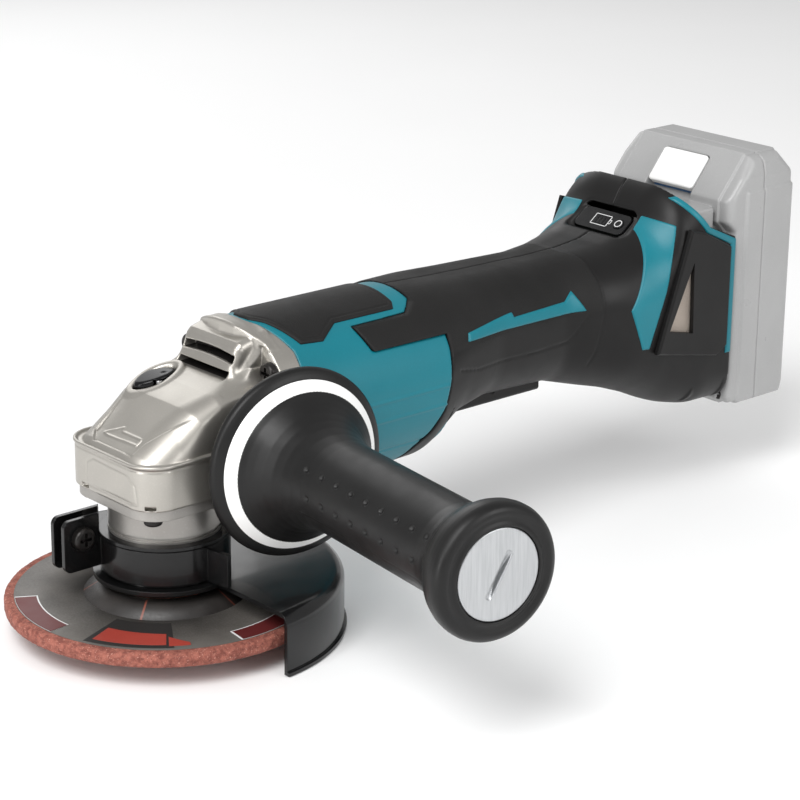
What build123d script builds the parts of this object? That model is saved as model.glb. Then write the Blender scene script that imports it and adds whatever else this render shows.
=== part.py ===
from build123d import *
import os
from math import atan2, cos, hypot, radians, sin

# Cordless angle grinder for 125 mm wheels, in millimetres.
# +Z is up along the spindle, +X runs back to the battery, -Y is the side handle's side.
# The origin is on the spindle axis, at the end face of the spindle's nose.

os.makedirs("parts", exist_ok=True)

# ---------------------------------------------------------------- driving dimensions
WHEEL_R = 62.5
WHEEL_T = 6.0
WHEEL_BORE_R = 11.115
HUB_RISE = 4.6
RIM_TOP_Z = 5.0
HUB_TOP_Z = RIM_TOP_Z + HUB_RISE
HUB_BOTTOM_Z = HUB_TOP_Z - WHEEL_T

THREAD_R = 7.0
FLANGE_R = 20.8
FLANGE_TOP_Z = 17.2
SEAT_Z = 20.8
BALL_BEARING = (7.5, 17.5, 11.0)
NECK_R = 21.8
NECK_BOTTOM_Z = 18.2
PLATE_Z = 45.0
HOUSING_Z = 49.0
RIM_Z = 66.5
HEAD_HALF = 27.5
HEAD_CORNER_R = 12.0
BOX_SCREW_XY = 19.8

MOTOR_Z = 71.0
GEAR_TEETH = 38
PINION_TEETH = 10
MODULE = 0.95
TOOTH_LENGTH = 5.5
GEAR_R = GEAR_TEETH * MODULE / 2
PINION_R = PINION_TEETH * MODULE / 2
CONE_LENGTH = hypot(GEAR_R, PINION_R)
RUNNING = 0.05

HOUSING_R = 36.5
HOUSING_WALL = 3.5
JOINT_X = 42.0
MOTOR_END_X = 120.0
SHAFT_R = 4.0
FRONT_BEARING = (4.0, 11.0, 7.0)
REAR_BEARING = (4.0, 9.5, 6.0)
FRONT_BEARING_X = 30.0
REAR_BEARING_X = 104.0
STATOR_R = 31.0
STATOR_X = 62.0
STATOR_LENGTH = 34.0
ROTOR_R = 14.0

SHELL_WALL = 2.8
SEAM_GAP = 0.15

PADDLE_X0 = 133.0
PADDLE_X1 = 187.0
PADDLE_BOTTOM_Z = 49.5
PADDLE_HALF = 13.0
PADDLE_PIVOT = (139.0, 56.0)
LOCK_PIVOT = (160.0, 55.0)

REST_X = 280.0
BATTERY_HALF = 37.5
BATTERY_X1 = 320.5
BATTERY_Z0 = 27.0
BATTERY_Z1 = 140.0
RAIL_HALF = 30.0
RAIL_X = 264.0
RAIL_NECK = 26.5
HOUSING_HALF = 38.0

HANDLE_X = 37.4
HANDLE_Z = 60.9
HANDLE_YAW = 7.8
BOSS_S = 33.0
BOLT_R = 4.0

GUARD_R = 69.0
GUARD_T = 1.8
GUARD_PLATE_Z = 13.0
GUARD_BOTTOM_Z = -9.5
GUARD_EDGE_X = 4.5
COLLAR_R = NECK_R + RUNNING
COLLAR_T = 1.5
COLLAR_TOP_Z = 31.5
LUG_Y = (10.5, 17.5)
LUG_T = 1.8
LUG_X = -32.0
LUG_Z = 31.0

MIN_BASE = (Align.CENTER, Align.CENTER, Align.MIN)
MAX_BASE = (Align.CENTER, Align.CENTER, Align.MAX)


# ---------------------------------------------------------------- shared helpers
def handle_plane(distance, side=-1):
    """Plane square to a side handle's axis, `distance` out from the middle of the tool."""
    yaw = radians(HANDLE_YAW)
    out = (-sin(yaw), side * cos(yaw), 0)
    origin = (HANDLE_X + out[0] * distance, out[1] * distance, HANDLE_Z)
    return Plane(origin=origin, x_dir=(0, 0, 1), z_dir=out)


def motor_plane(x):
    """Plane square to the motor's axis at x."""
    return Plane(origin=(x, 0, MOTOR_Z), x_dir=(0, 1, 0), z_dir=(1, 0, 0))


def tube(outer_r, inner_r, length, plane):
    """A plain tube standing on a plane."""
    with BuildPart() as made:
        with BuildSketch(plane):
            Circle(outer_r)
            if inner_r:
                Circle(inner_r, mode=Mode.SUBTRACT)
        extrude(amount=length)
    return made.part


def plate(points, y0, y1):
    """A flat plate whose outline is given in x and z, between two values of y."""
    with BuildPart() as made:
        with BuildSketch(Plane.XZ.offset(-y1)):
            with BuildLine():
                Polyline(*points, close=True)
            make_face()
        extrude(amount=y1 - y0)
    return made.part


def ball_bearing(sizes, plane, balls=9):
    """Outer race, inner race and balls of a deep groove bearing, as separate solids."""
    inner_r, outer_r, width = sizes
    mid_r = (inner_r + outer_r) / 2
    race = (outer_r - inner_r) / 2
    with BuildPart() as made:
        add(tube(outer_r, mid_r + race * 0.42, width, plane))
        add(tube(mid_r - race * 0.42, inner_r, width, plane))
        with Locations(plane.offset(width / 2)):
            with PolarLocations(mid_r, balls):
                Sphere(race * 0.4)
    return made.part


def pan_screw(head_r, head_h, shank_r, shank_l):
    """Pan head screw with a cross recess, its head above the origin and its shank below."""
    with BuildPart() as made:
        Cylinder(head_r, head_h, align=MIN_BASE)
        fillet(made.edges().filter_by(GeomType.CIRCLE).sort_by(Axis.Z)[-1], head_h * 0.45)
        Cylinder(shank_r, shank_l, align=MAX_BASE)
        with BuildSketch(Plane.XY.offset(head_h)):
            Rectangle(head_r * 1.2, head_r * 0.3)
            Rectangle(head_r * 0.3, head_r * 1.2)
        extrude(amount=-head_h * 0.6, mode=Mode.SUBTRACT)
    return made.part


def section(x, width, z0, z1, corner, shrink=0.0):
    """Rounded cross-section of the body at x, drawn smaller all round by `shrink`."""
    with BuildSketch(Plane.YZ.offset(x)) as drawn:
        with Locations((0, (z0 + z1) / 2)):
            RectangleRounded(width - 2 * shrink, z1 - z0 - 2 * shrink, corner - shrink)
    return drawn.sketch


# ---------------------------------------------------------------- grinding wheel and its clamping
with BuildPart() as grinding_wheel:
    with BuildSketch(Plane.XZ):
        with BuildLine():
            Polyline(
                (WHEEL_BORE_R, HUB_BOTTOM_Z),
                (WHEEL_BORE_R, HUB_TOP_Z),
                (24.5, HUB_TOP_Z),
                (31.5, RIM_TOP_Z),
                (WHEEL_R, RIM_TOP_Z),
                (WHEEL_R, RIM_TOP_Z - WHEEL_T),
                (33.5, RIM_TOP_Z - WHEEL_T),
                (26.5, HUB_BOTTOM_Z),
                close=True,
            )
        make_face()
    revolve(axis=Axis.Z)
grinding_wheel.part.label = "grinding_wheel"
export_step(grinding_wheel.part, "parts/grinding_wheel.step")

with BuildPart() as inner_flange:
    with BuildSketch(Plane.XY.offset(HUB_TOP_Z)):
        Circle(FLANGE_R)
    extrude(amount=FLANGE_TOP_Z - HUB_TOP_Z)
    fillet(inner_flange.edges().sort_by(Axis.Z)[-1], 0.8)
    with BuildSketch(Plane.XY.offset(HUB_TOP_Z)):
        Circle(WHEEL_BORE_R - 0.1)
    extrude(amount=-3.0)
    with BuildSketch(Plane.XY.offset(FLANGE_TOP_Z)):
        Circle(THREAD_R)
    extrude(amount=-12, mode=Mode.SUBTRACT)
inner_flange.part.label = "inner_flange"
export_step(inner_flange.part, "parts/inner_flange.step")

with BuildPart() as lock_nut:
    with BuildSketch(Plane.XY.offset(HUB_BOTTOM_Z)):
        Circle(19.5)
    extrude(amount=-4.0)
    chamfer(lock_nut.edges().sort_by(Axis.Z)[0], 0.6)
    with BuildSketch(Plane.XY.offset(HUB_BOTTOM_Z)):
        Circle(WHEEL_BORE_R - 0.1)
    extrude(amount=2.2)
    with BuildSketch(Plane.XY.offset(HUB_BOTTOM_Z + 3)):
        Circle(THREAD_R + RUNNING)
        with PolarLocations(15.0, 4):
            Circle(2.5)
    extrude(amount=-8, mode=Mode.SUBTRACT)
lock_nut.part.label = "lock_nut"
export_step(lock_nut.part, "parts/lock_nut.step")

# ---------------------------------------------------------------- spindle and its bearings
with BuildPart() as spindle:
    with BuildSketch(Plane.XZ):
        with BuildLine():
            Polyline(
                (0, 0),
                (THREAD_R - 1, 0),
                (THREAD_R, 1),
                (THREAD_R, FLANGE_TOP_Z),
                (9.0, FLANGE_TOP_Z),
                (9.0, SEAT_Z),
                (BALL_BEARING[0] - RUNNING, SEAT_Z),
                (BALL_BEARING[0] - RUNNING, 36.0),
                (6.0, 36.0),
                (6.0, 70.0),
                (4.0, 70.0),
                (4.0, 80.0),
                (0, 80.0),
                close=True,
            )
        make_face()
    revolve(axis=Axis.Z)
spindle.part.label = "spindle"
export_step(spindle.part, "parts/spindle.step")

spindle_ball_bearing = ball_bearing(BALL_BEARING, Plane.XY.offset(SEAT_Z), balls=8)
spindle_ball_bearing.label = "spindle_ball_bearing"
export_step(spindle_ball_bearing, "parts/spindle_ball_bearing.step")

with BuildPart() as bearing_retainer:
    add(tube(17.5, 10.0, 2.4, Plane.XY.offset(SEAT_Z + BALL_BEARING[2])))
    with Locations((0, 0, SEAT_Z + BALL_BEARING[2] + 2.4)):
        with PolarLocations(13.5, 4):
            Hole(1.5, depth=2.4)
bearing_retainer.part.label = "bearing_retainer"
export_step(bearing_retainer.part, "parts/bearing_retainer.step")

needle_bearing = tube(6.5, 4.0 + RUNNING, 8.0, Plane.XY.offset(72.0))
needle_bearing.label = "needle_bearing"
export_step(needle_bearing, "parts/needle_bearing.step")


# ---------------------------------------------------------------- bevel gear pair
def bevel_tooth(cone_angle, half_width, addendum, dedendum):
    """One straight bevel tooth along +X of a cone whose apex is at the origin."""
    along = Vector(sin(cone_angle), 0, -cos(cone_angle))
    outward = Vector(cos(cone_angle), 0, sin(cone_angle))
    sketches = []
    for distance in (CONE_LENGTH, CONE_LENGTH - TOOTH_LENGTH):
        scale_by = distance / CONE_LENGTH
        where = Plane(origin=along * distance, x_dir=(0, 1, 0), z_dir=along)
        flip = 1 if where.y_dir.dot(outward) > 0 else -1
        tip = half_width - 0.34 * addendum
        root = half_width + 0.34 * dedendum
        with BuildSketch(where) as drawn:
            with BuildLine():
                Polyline(
                    (-root * scale_by, -flip * dedendum * scale_by),
                    (root * scale_by, -flip * dedendum * scale_by),
                    (tip * scale_by, flip * addendum * scale_by),
                    (-tip * scale_by, flip * addendum * scale_by),
                    close=True,
                )
            make_face()
        sketches.append(drawn.sketch)
    with BuildPart() as made:
        loft(sections=sketches)
    return made.part


GEAR_CONE = atan2(GEAR_R, PINION_R)
PINION_CONE = atan2(PINION_R, GEAR_R)
DEDENDUM = 0.75
APEX = Location((0, 0, MOTOR_Z))

gear_heel_r = GEAR_R - 0.2
gear_heel_z = MOTOR_Z - PINION_R - 0.62
gear_toe_share = (CONE_LENGTH - TOOTH_LENGTH) / CONE_LENGTH
with BuildPart() as bevel_gear:
    with BuildSketch(Plane.XZ):
        with BuildLine():
            Polyline(
                (6.0, 56.0),
                (10.0, 56.0),
                (10.0, 60.5),
                (gear_heel_r, gear_heel_z - 2.2),
                (gear_heel_r, gear_heel_z),
                (GEAR_R * gear_toe_share, MOTOR_Z - PINION_R * gear_toe_share - 0.5),
                (GEAR_R * gear_toe_share - 1, 64.5),
                (6.0, 64.5),
                close=True,
            )
        make_face()
    revolve(axis=Axis.Z)
    with Locations(APEX):
        with PolarLocations(0, GEAR_TEETH):
            add(bevel_tooth(GEAR_CONE, 0.52, 0.5, DEDENDUM))
    with Locations((0, 0, 68.0)):
        with PolarLocations(10.6, 4, start_angle=60):
            Hole(1.75, depth=13.5)
bevel_gear.part.label = "bevel_gear"
export_step(bevel_gear.part, "parts/bevel_gear.step")

pinion_location = Location(Plane(origin=(0, 0, MOTOR_Z), x_dir=(0, 0, 1), z_dir=(-1, 0, 0)))
pinion_toe_x = GEAR_R * gear_toe_share
pinion_toe_r = PINION_R * gear_toe_share - 0.45
with BuildPart() as pinion:
    with BuildSketch(Plane(origin=(0, 0, MOTOR_Z), x_dir=(1, 0, 0), z_dir=(0, -1, 0))):
        with BuildLine():
            Polyline(
                (pinion_toe_x, 0),
                (pinion_toe_x, pinion_toe_r),
                (GEAR_R, PINION_R - 0.62),
                (GEAR_R + 0.6, 5.2),
                (29.0, 5.2),
                (29.0, 3.0),
                (GEAR_R + 1.5, 3.0),
                (GEAR_R + 1.5, 0),
                close=True,
            )
        make_face()
    revolve(axis=Axis(origin=(0, 0, MOTOR_Z), direction=(1, 0, 0)))
    with Locations(pinion_location):
        with PolarLocations(0, PINION_TEETH, start_angle=180 / PINION_TEETH):
            add(bevel_tooth(PINION_CONE, 0.5, 0.5, DEDENDUM))
pinion.part.label = "pinion"
export_step(pinion.part, "parts/pinion.step")

# ---------------------------------------------------------------- bearing box
with BuildPart() as bearing_box:
    add(tube(NECK_R, 0, PLATE_Z - NECK_BOTTOM_Z, Plane.XY.offset(NECK_BOTTOM_Z)))
    with BuildSketch(Plane.XY.offset(PLATE_Z)):
        RectangleRounded(2 * HEAD_HALF - 2, 2 * HEAD_HALF - 2, HEAD_CORNER_R)
    extrude(amount=HOUSING_Z - PLATE_Z)
    with BuildSketch(Plane.XY.offset(SEAT_Z)):
        Circle(17.5)
    extrude(amount=HOUSING_Z - SEAT_Z, mode=Mode.SUBTRACT)
    with BuildSketch(Plane.XY.offset(NECK_BOTTOM_Z)):
        Circle(9.6)
    extrude(amount=5, mode=Mode.SUBTRACT)
    with Locations((0, 0, HOUSING_Z)):
        with GridLocations(2 * BOX_SCREW_XY, 2 * BOX_SCREW_XY, 2, 2):
            Hole(2.0, depth=HOUSING_Z - PLATE_Z)
    with BuildSketch(Plane.XY.offset(32.6)):
        Circle(NECK_R + 1)
        Circle(NECK_R - 0.7, mode=Mode.SUBTRACT)
    extrude(amount=1.2, mode=Mode.SUBTRACT)
bearing_box.part.label = "bearing_box"
export_step(bearing_box.part, "parts/bearing_box.step")

with BuildPart() as bearing_box_screws:
    with Locations(Plane(origin=(0, 0, PLATE_Z), x_dir=(1, 0, 0), z_dir=(0, 0, -1))):
        with GridLocations(2 * BOX_SCREW_XY, 2 * BOX_SCREW_XY, 2, 2):
            add(pan_screw(3.6, 2.8, 2.0, 14.0))
bearing_box_screws.part.label = "bearing_box_screws"
export_step(bearing_box_screws.part, "parts/bearing_box_screws.step")

# ---------------------------------------------------------------- gear housing
HEAD_SLOPE = [
    (-HEAD_HALF, RIM_Z),
    (-24.0, 69.5),
    (-2.6, 83.5),
    (8.0, 87.5),
    (18.5, 90.0),
    (22.5, 98.5),
    (32.0, 103.5),
    (JOINT_X, MOTOR_Z + HOUSING_R),
    (JOINT_X, HOUSING_Z),
    (-HEAD_HALF, HOUSING_Z),
]
GEAR_SCREW_YZ = [(-24.5, 92.0), (24.5, 92.0), (-24.5, 50.0), (24.5, 50.0)]
GEAR_SCREW_X = 33.0
CONE_FOOT_X = 28.0
SHAFT_LOCK_XY = (5.3, 9.18)
SHAFT_LOCK_CAP_XY = (6.2, 12.6)

with BuildPart() as gear_housing:
    with BuildSketch(Plane.XY.offset(HOUSING_Z)):
        with Locations((3.0, 0)):
            RectangleRounded(2 * HEAD_HALF + 6, 2 * HEAD_HALF, HEAD_CORNER_R)
    extrude(amount=60)
    with BuildSketch(Plane.XZ):
        with BuildLine():
            Polyline(*HEAD_SLOPE, close=True)
        make_face()
    extrude(amount=HEAD_HALF, both=True, mode=Mode.INTERSECT)
    add(tube(HOUSING_R, 0, 6.0, motor_plane(JOINT_X - 6.0)))
    with BuildSketch(motor_plane(CONE_FOOT_X)) as cone_foot:
        Circle(HEAD_HALF)
    with BuildSketch(motor_plane(JOINT_X - 6.0)) as cone_top:
        Circle(HOUSING_R)
    loft(sections=[cone_foot.sketch, cone_top.sketch])
    for side in (-1, 1):
        add(tube(10.5, 0, BOSS_S - 10, handle_plane(10, side)))
        with BuildSketch(handle_plane(BOSS_S, side)):
            Circle(12.0)
        extrude(amount=12.0, mode=Mode.SUBTRACT)
    # gear chamber, spindle bearing seat and pinion passage
    with BuildSketch(Plane.XY.offset(HOUSING_Z - 1)):
        Circle(20.0)
    extrude(amount=69.5 - HOUSING_Z, mode=Mode.SUBTRACT)
    with BuildSketch(Plane.XY.offset(60)):
        Circle(10.5)
    extrude(amount=12.0, mode=Mode.SUBTRACT)
    with BuildSketch(Plane.XY.offset(60)):
        Circle(6.5)
    extrude(amount=20.5, mode=Mode.SUBTRACT)
    with BuildSketch(motor_plane(0)):
        Circle(7.0)
    extrude(amount=JOINT_X, mode=Mode.SUBTRACT)
    with BuildSketch(motor_plane(FRONT_BEARING_X)):
        Circle(FRONT_BEARING[1])
    extrude(amount=JOINT_X, mode=Mode.SUBTRACT)
    with BuildSketch(motor_plane(JOINT_X - 4.0)):
        Circle(HOUSING_R - 3.0)
    extrude(amount=10, mode=Mode.SUBTRACT)
    # exhaust slots through the steep front face
    for slot_z in (93.0, 99.0):
        with BuildSketch(Plane.YZ.offset(12.0)):
            with Locations((0, slot_z)):
                RectangleRounded(30.0, 2.8, 1.2)
        extrude(amount=JOINT_X - 12.0, mode=Mode.SUBTRACT)
    # shaft lock bore
    with BuildSketch(Plane.XY.offset(60)):
        with Locations(SHAFT_LOCK_XY):
            Circle(1.5 + RUNNING)
    extrude(amount=40, mode=Mode.SUBTRACT)
    with BuildSketch(Plane.XY.offset(79.0)):
        with Locations(SHAFT_LOCK_CAP_XY):
            Circle(6.3)
    extrude(amount=20, mode=Mode.SUBTRACT)
    # side handle threads, both sides
    for side in (-1, 1):
        with BuildSketch(handle_plane(BOSS_S, side)):
            Circle(BOLT_R)
        extrude(amount=-13.0, mode=Mode.SUBTRACT)
    with Locations((0, 0, HOUSING_Z)):
        with GridLocations(2 * BOX_SCREW_XY, 2 * BOX_SCREW_XY, 2, 2):
            Cylinder(2.0, 12.0, align=MIN_BASE, mode=Mode.SUBTRACT)
    for y, z in GEAR_SCREW_YZ:
        with BuildSketch(Plane.YZ.offset(GEAR_SCREW_X)):
            with Locations((y, z)):
                Circle(4.6)
        extrude(amount=-15.0, mode=Mode.SUBTRACT)
        with BuildSketch(Plane.YZ.offset(GEAR_SCREW_X)):
            with Locations((y, z)):
                Circle(2.0)
        extrude(amount=15.0, mode=Mode.SUBTRACT)
    split(bisect_by=Plane.YZ.offset(JOINT_X), keep=Keep.BOTTOM)
gear_housing.part.label = "gear_housing"
export_step(gear_housing.part, "parts/gear_housing.step")

with BuildPart() as gear_housing_screws:
    for y, z in GEAR_SCREW_YZ:
        with Locations(Plane(origin=(GEAR_SCREW_X, y, z), x_dir=(0, 1, 0), z_dir=(-1, 0, 0))):
            add(pan_screw(4.2, 3.0, 2.0, 20.0))
gear_housing_screws.part.label = "gear_housing_screws"
export_step(gear_housing_screws.part, "parts/gear_housing_screws.step")

# ---------------------------------------------------------------- shaft lock
with BuildPart() as shaft_lock_button:
    with BuildSketch(Plane.XY.offset(83.5)):
        with Locations(SHAFT_LOCK_CAP_XY):
            Circle(6.0)
    extrude(amount=6.0)
    fillet(shaft_lock_button.edges().sort_by(Axis.Z)[-1], 1.2)
    with BuildSketch(Plane.XY.offset(83.5)):
        with Locations(SHAFT_LOCK_XY):
            Circle(1.5)
    extrude(amount=3.0, mode=Mode.SUBTRACT)
shaft_lock_button.part.label = "shaft_lock_button"
export_step(shaft_lock_button.part, "parts/shaft_lock_button.step")

with BuildPart() as shaft_lock_pin:
    with BuildSketch(Plane.XY.offset(66.0)):
        with Locations(SHAFT_LOCK_XY):
            Circle(1.5)
    extrude(amount=20.5)
shaft_lock_pin.part.label = "shaft_lock_pin"
export_step(shaft_lock_pin.part, "parts/shaft_lock_pin.step")

with BuildPart() as shaft_lock_spring:
    for turn in range(4):
        with Locations((*SHAFT_LOCK_XY, 79.5 + 1.1 * turn)):
            Torus(2.0, 0.35)
shaft_lock_spring.part.label = "shaft_lock_spring"
export_step(shaft_lock_spring.part, "parts/shaft_lock_spring.step")

# ---------------------------------------------------------------- rotor
with BuildPart() as rotor_shaft:
    add(tube(3.0, 0, 29.0 - (GEAR_R + 1.5), motor_plane(GEAR_R + 1.5)))
    add(tube(SHAFT_R - RUNNING, 0, REAR_BEARING_X + 7.0 - 29.0, motor_plane(29.0)))
rotor_shaft.part.label = "rotor_shaft"
export_step(rotor_shaft.part, "parts/rotor_shaft.step")

with BuildPart() as rotor_core:
    with BuildSketch(motor_plane(STATOR_X + 1.0)):
        Circle(ROTOR_R)
        Circle(SHAFT_R - RUNNING, mode=Mode.SUBTRACT)
        with PolarLocations(10.0, 4):
            Rectangle(2.2, 12.0, mode=Mode.SUBTRACT)
    extrude(amount=STATOR_LENGTH - 2.0)
rotor_core.part.label = "rotor_core"
export_step(rotor_core.part, "parts/rotor_core.step")

with BuildPart() as rotor_magnets:
    with BuildSketch(motor_plane(STATOR_X + 1.0)):
        with PolarLocations(10.0, 4):
            Rectangle(2.2, 12.0)
    extrude(amount=STATOR_LENGTH - 2.0)
rotor_magnets.part.label = "rotor_magnets"
export_step(rotor_magnets.part, "parts/rotor_magnets.step")

with BuildPart() as cooling_fan:
    add(tube(27.0, SHAFT_R - RUNNING, 1.6, motor_plane(45.0)))
    add(tube(8.0, SHAFT_R - RUNNING, 8.5, motor_plane(45.0)))
    with BuildSketch(motor_plane(46.6)):
        with PolarLocations(18.4, 14):
            Rectangle(15.0, 1.2, rotation=25)
    extrude(amount=7.0)
cooling_fan.part.label = "cooling_fan"
export_step(cooling_fan.part, "parts/cooling_fan.step")

rotor_bearing_front = ball_bearing(FRONT_BEARING, motor_plane(FRONT_BEARING_X))
rotor_bearing_front.label = "rotor_bearing_front"
export_step(rotor_bearing_front, "parts/rotor_bearing_front.step")

rotor_bearing_rear = ball_bearing(REAR_BEARING, motor_plane(REAR_BEARING_X))
rotor_bearing_rear.label = "rotor_bearing_rear"
export_step(rotor_bearing_rear, "parts/rotor_bearing_rear.step")

# ---------------------------------------------------------------- stator and motor housing
STATOR_TEETH = 6
with BuildPart() as stator_core:
    with BuildSketch(motor_plane(STATOR_X)):
        Circle(STATOR_R)
        Circle(STATOR_R - 4.0, mode=Mode.SUBTRACT)
        with PolarLocations(22.0, STATOR_TEETH):
            Rectangle(11.5, 7.0)
        Circle(18.0)
        Circle(14.6, mode=Mode.SUBTRACT)
        with PolarLocations(16.0, STATOR_TEETH, start_angle=180 / STATOR_TEETH):
            Rectangle(5.0, 2.4, mode=Mode.SUBTRACT)
    extrude(amount=STATOR_LENGTH)
stator_core.part.label = "stator_core"
export_step(stator_core.part, "parts/stator_core.step")

with BuildPart() as stator_windings:
    with BuildSketch(motor_plane(STATOR_X - 4.0)):
        with PolarLocations(22.1, STATOR_TEETH):
            Rectangle(7.6, 14.4)
    extrude(amount=STATOR_LENGTH + 8.0)
    with BuildSketch(motor_plane(STATOR_X - 0.1)):
        with PolarLocations(22.0, STATOR_TEETH):
            Rectangle(11.5, 7.1)
    extrude(amount=STATOR_LENGTH + 0.2, mode=Mode.SUBTRACT)
    with BuildSketch(motor_plane(STATOR_X - 4.0)):
        Circle(18.1)
    extrude(amount=STATOR_LENGTH + 8.0, mode=Mode.SUBTRACT)
stator_windings.part.label = "stator_windings"
export_step(stator_windings.part, "parts/stator_windings.step")

baffle_ring = tube(HOUSING_R - HOUSING_WALL, 17.0, 2.0, motor_plane(54.6))
baffle_ring.label = "baffle_ring"
export_step(baffle_ring, "parts/baffle_ring.step")


def front_region(gap):
    """The motor housing's share of the side view, grown towards the handle by `gap`."""
    with BuildPart() as made:
        with BuildSketch(Plane.XZ):
            with BuildLine():
                Polyline((117.5 + gap, 92.2 + gap), (79.5 + gap, 92.2 + gap), (76 + gap, 100.8),
                         (104.0, 101.0 - gap), (111.0 + gap, 104.2), (110.4 + gap, 115.0), (0, 115.0),
                         (0, 30.0), (96.0 + gap, 30.0), (99.5 + gap, 44.0))
                ThreePointArc((99.5 + gap, 44.0), (113.2 + gap, 64.5), (117.5 + gap, 92.2 + gap))
            make_face()
        extrude(amount=60, both=True)
    return made.part


with BuildPart() as motor_housing:
    add(tube(HOUSING_R, 0, MOTOR_END_X - JOINT_X, motor_plane(JOINT_X)))
    add(front_region(0.0), mode=Mode.INTERSECT)
    add(tube(HOUSING_R - 3.0, 0, MOTOR_END_X - 85.0, motor_plane(85.0)))
    with BuildSketch(motor_plane(JOINT_X)):
        Circle(HOUSING_R - HOUSING_WALL)
    extrude(amount=86.0 - JOINT_X, mode=Mode.SUBTRACT)
    with BuildSketch(motor_plane(85.0)):
        Circle(STATOR_R)
    extrude(amount=112.0 - 85.0, mode=Mode.SUBTRACT)
    with BuildSketch(motor_plane(112.0)):
        with PolarLocations(21.5, 8):
            Circle(6.0)
    extrude(amount=2.6, mode=Mode.SUBTRACT)
    with BuildSketch(motor_plane(114.6)):
        Circle(STATOR_R)
    extrude(amount=10.0, mode=Mode.SUBTRACT)
    add(tube(13.0, REAR_BEARING[1], 8.0, motor_plane(REAR_BEARING_X)))
    with BuildSketch(motor_plane(STATOR_X)):
        with PolarLocations(32.2, 4, start_angle=45):
            Rectangle(2.4, 6.0)
    extrude(amount=22.0)
    for y, z in GEAR_SCREW_YZ:
        with BuildSketch(Plane.YZ.offset(JOINT_X)):
            with Locations((y, z)):
                Circle(3.8)
        extrude(amount=12.2)
    for y, z in GEAR_SCREW_YZ:
        with BuildSketch(Plane.YZ.offset(JOINT_X)):
            with Locations((y, z)):
                Circle(2.0)
        extrude(amount=11.2, mode=Mode.SUBTRACT)
motor_housing.part.label = "motor_housing"
export_step(motor_housing.part, "parts/motor_housing.step")

with BuildPart() as front_overmould:
    add(tube(HOUSING_R + 0.9, HOUSING_R, 62.0, motor_plane(JOINT_X + 0.5)))
    with BuildSketch(Plane.XY.offset(MOTOR_Z)):
        with BuildLine():
            Polyline((JOINT_X + 0.5, 18.0), (48.2, 23.1), (60.0, 23.8), (69.7, 18.4), (100.5, 18.4),
                     (102.4, 15.0), (102.4, -15.0), (100.5, -18.4), (69.7, -18.4), (60.0, -23.8),
                     (48.2, -23.1), (JOINT_X + 0.5, -18.0), close=True)
        make_face()
    extrude(amount=60, mode=Mode.INTERSECT)
front_overmould.part.label = "front_overmould"
export_step(front_overmould.part, "parts/front_overmould.step")

# ---------------------------------------------------------------- handle and battery housing shells
BODY_SECTIONS = [
    (74.0, 73.8, 34.1, 107.9, 36.0),
    (112.0, 73.2, 36.0, 107.6, 34.0),
    (130.0, 66.0, 50.0, 106.8, 26.0),
    (150.0, 58.0, 54.0, 106.2, 22.0),
    (190.0, 55.0, 52.0, 105.6, 22.0),
    (208.0, 64.0, 47.0, 106.0, 24.0),
    (222.0, 73.0, 43.5, 107.5, 26.0),
    (236.0, 76.0, 38.5, 112.5, 26.0),
    (241.5, 76.0, 36.0, 117.5, 26.0),
    (247.0, 76.0, 33.5, 127.5, 25.0),
    (254.0, 76.0, 31.0, 131.5, 23.0),
    (264.0, 76.0, 29.5, 132.5, 18.0),
    (REST_X, 76.0, 30.0, 129.0, 16.0),
]


def body(shrink):
    """Outside of both shells together, or the space inside them when shrunk by the wall."""
    with BuildPart() as made:
        loft(sections=[section(*entry, shrink) for entry in BODY_SECTIONS], ruled=True)
    return made.part


PADDLE_OPENING = [
    (PADDLE_X0 - 1.0, 40.0),
    (PADDLE_X1 + 1.0, 40.0),
    (PADDLE_X1 + 1.0, 67.0),
    (PADDLE_X0 - 1.0, 62.0),
]
TOP_CUT = [(247.0, 140.0), (251.5, 127.5), (262.5, 113.5), (REST_X + 1, 105.8), (REST_X + 1, 140.0)]
MESH_WINDOW = [(251.2, 100.2), (252.2, 68.3), (237.5, 71.7)]

HOUSING_SCREWS = [
    (126.0, 100.0, 17.0),
    (196.0, 99.0, 14.0),
    (196.0, 63.0, 22.0),
    (228.0, 50.0, 24.0),
    (252.0, 40.0, 26.0),
]
PANEL = Plane(origin=(236.6, 0, 112.6), x_dir=(0, 1, 0), z_dir=(-0.6, 0, 0.8))
BUTTON_Y = -9.2
SCREW_HEAD_R = 3.0

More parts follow.
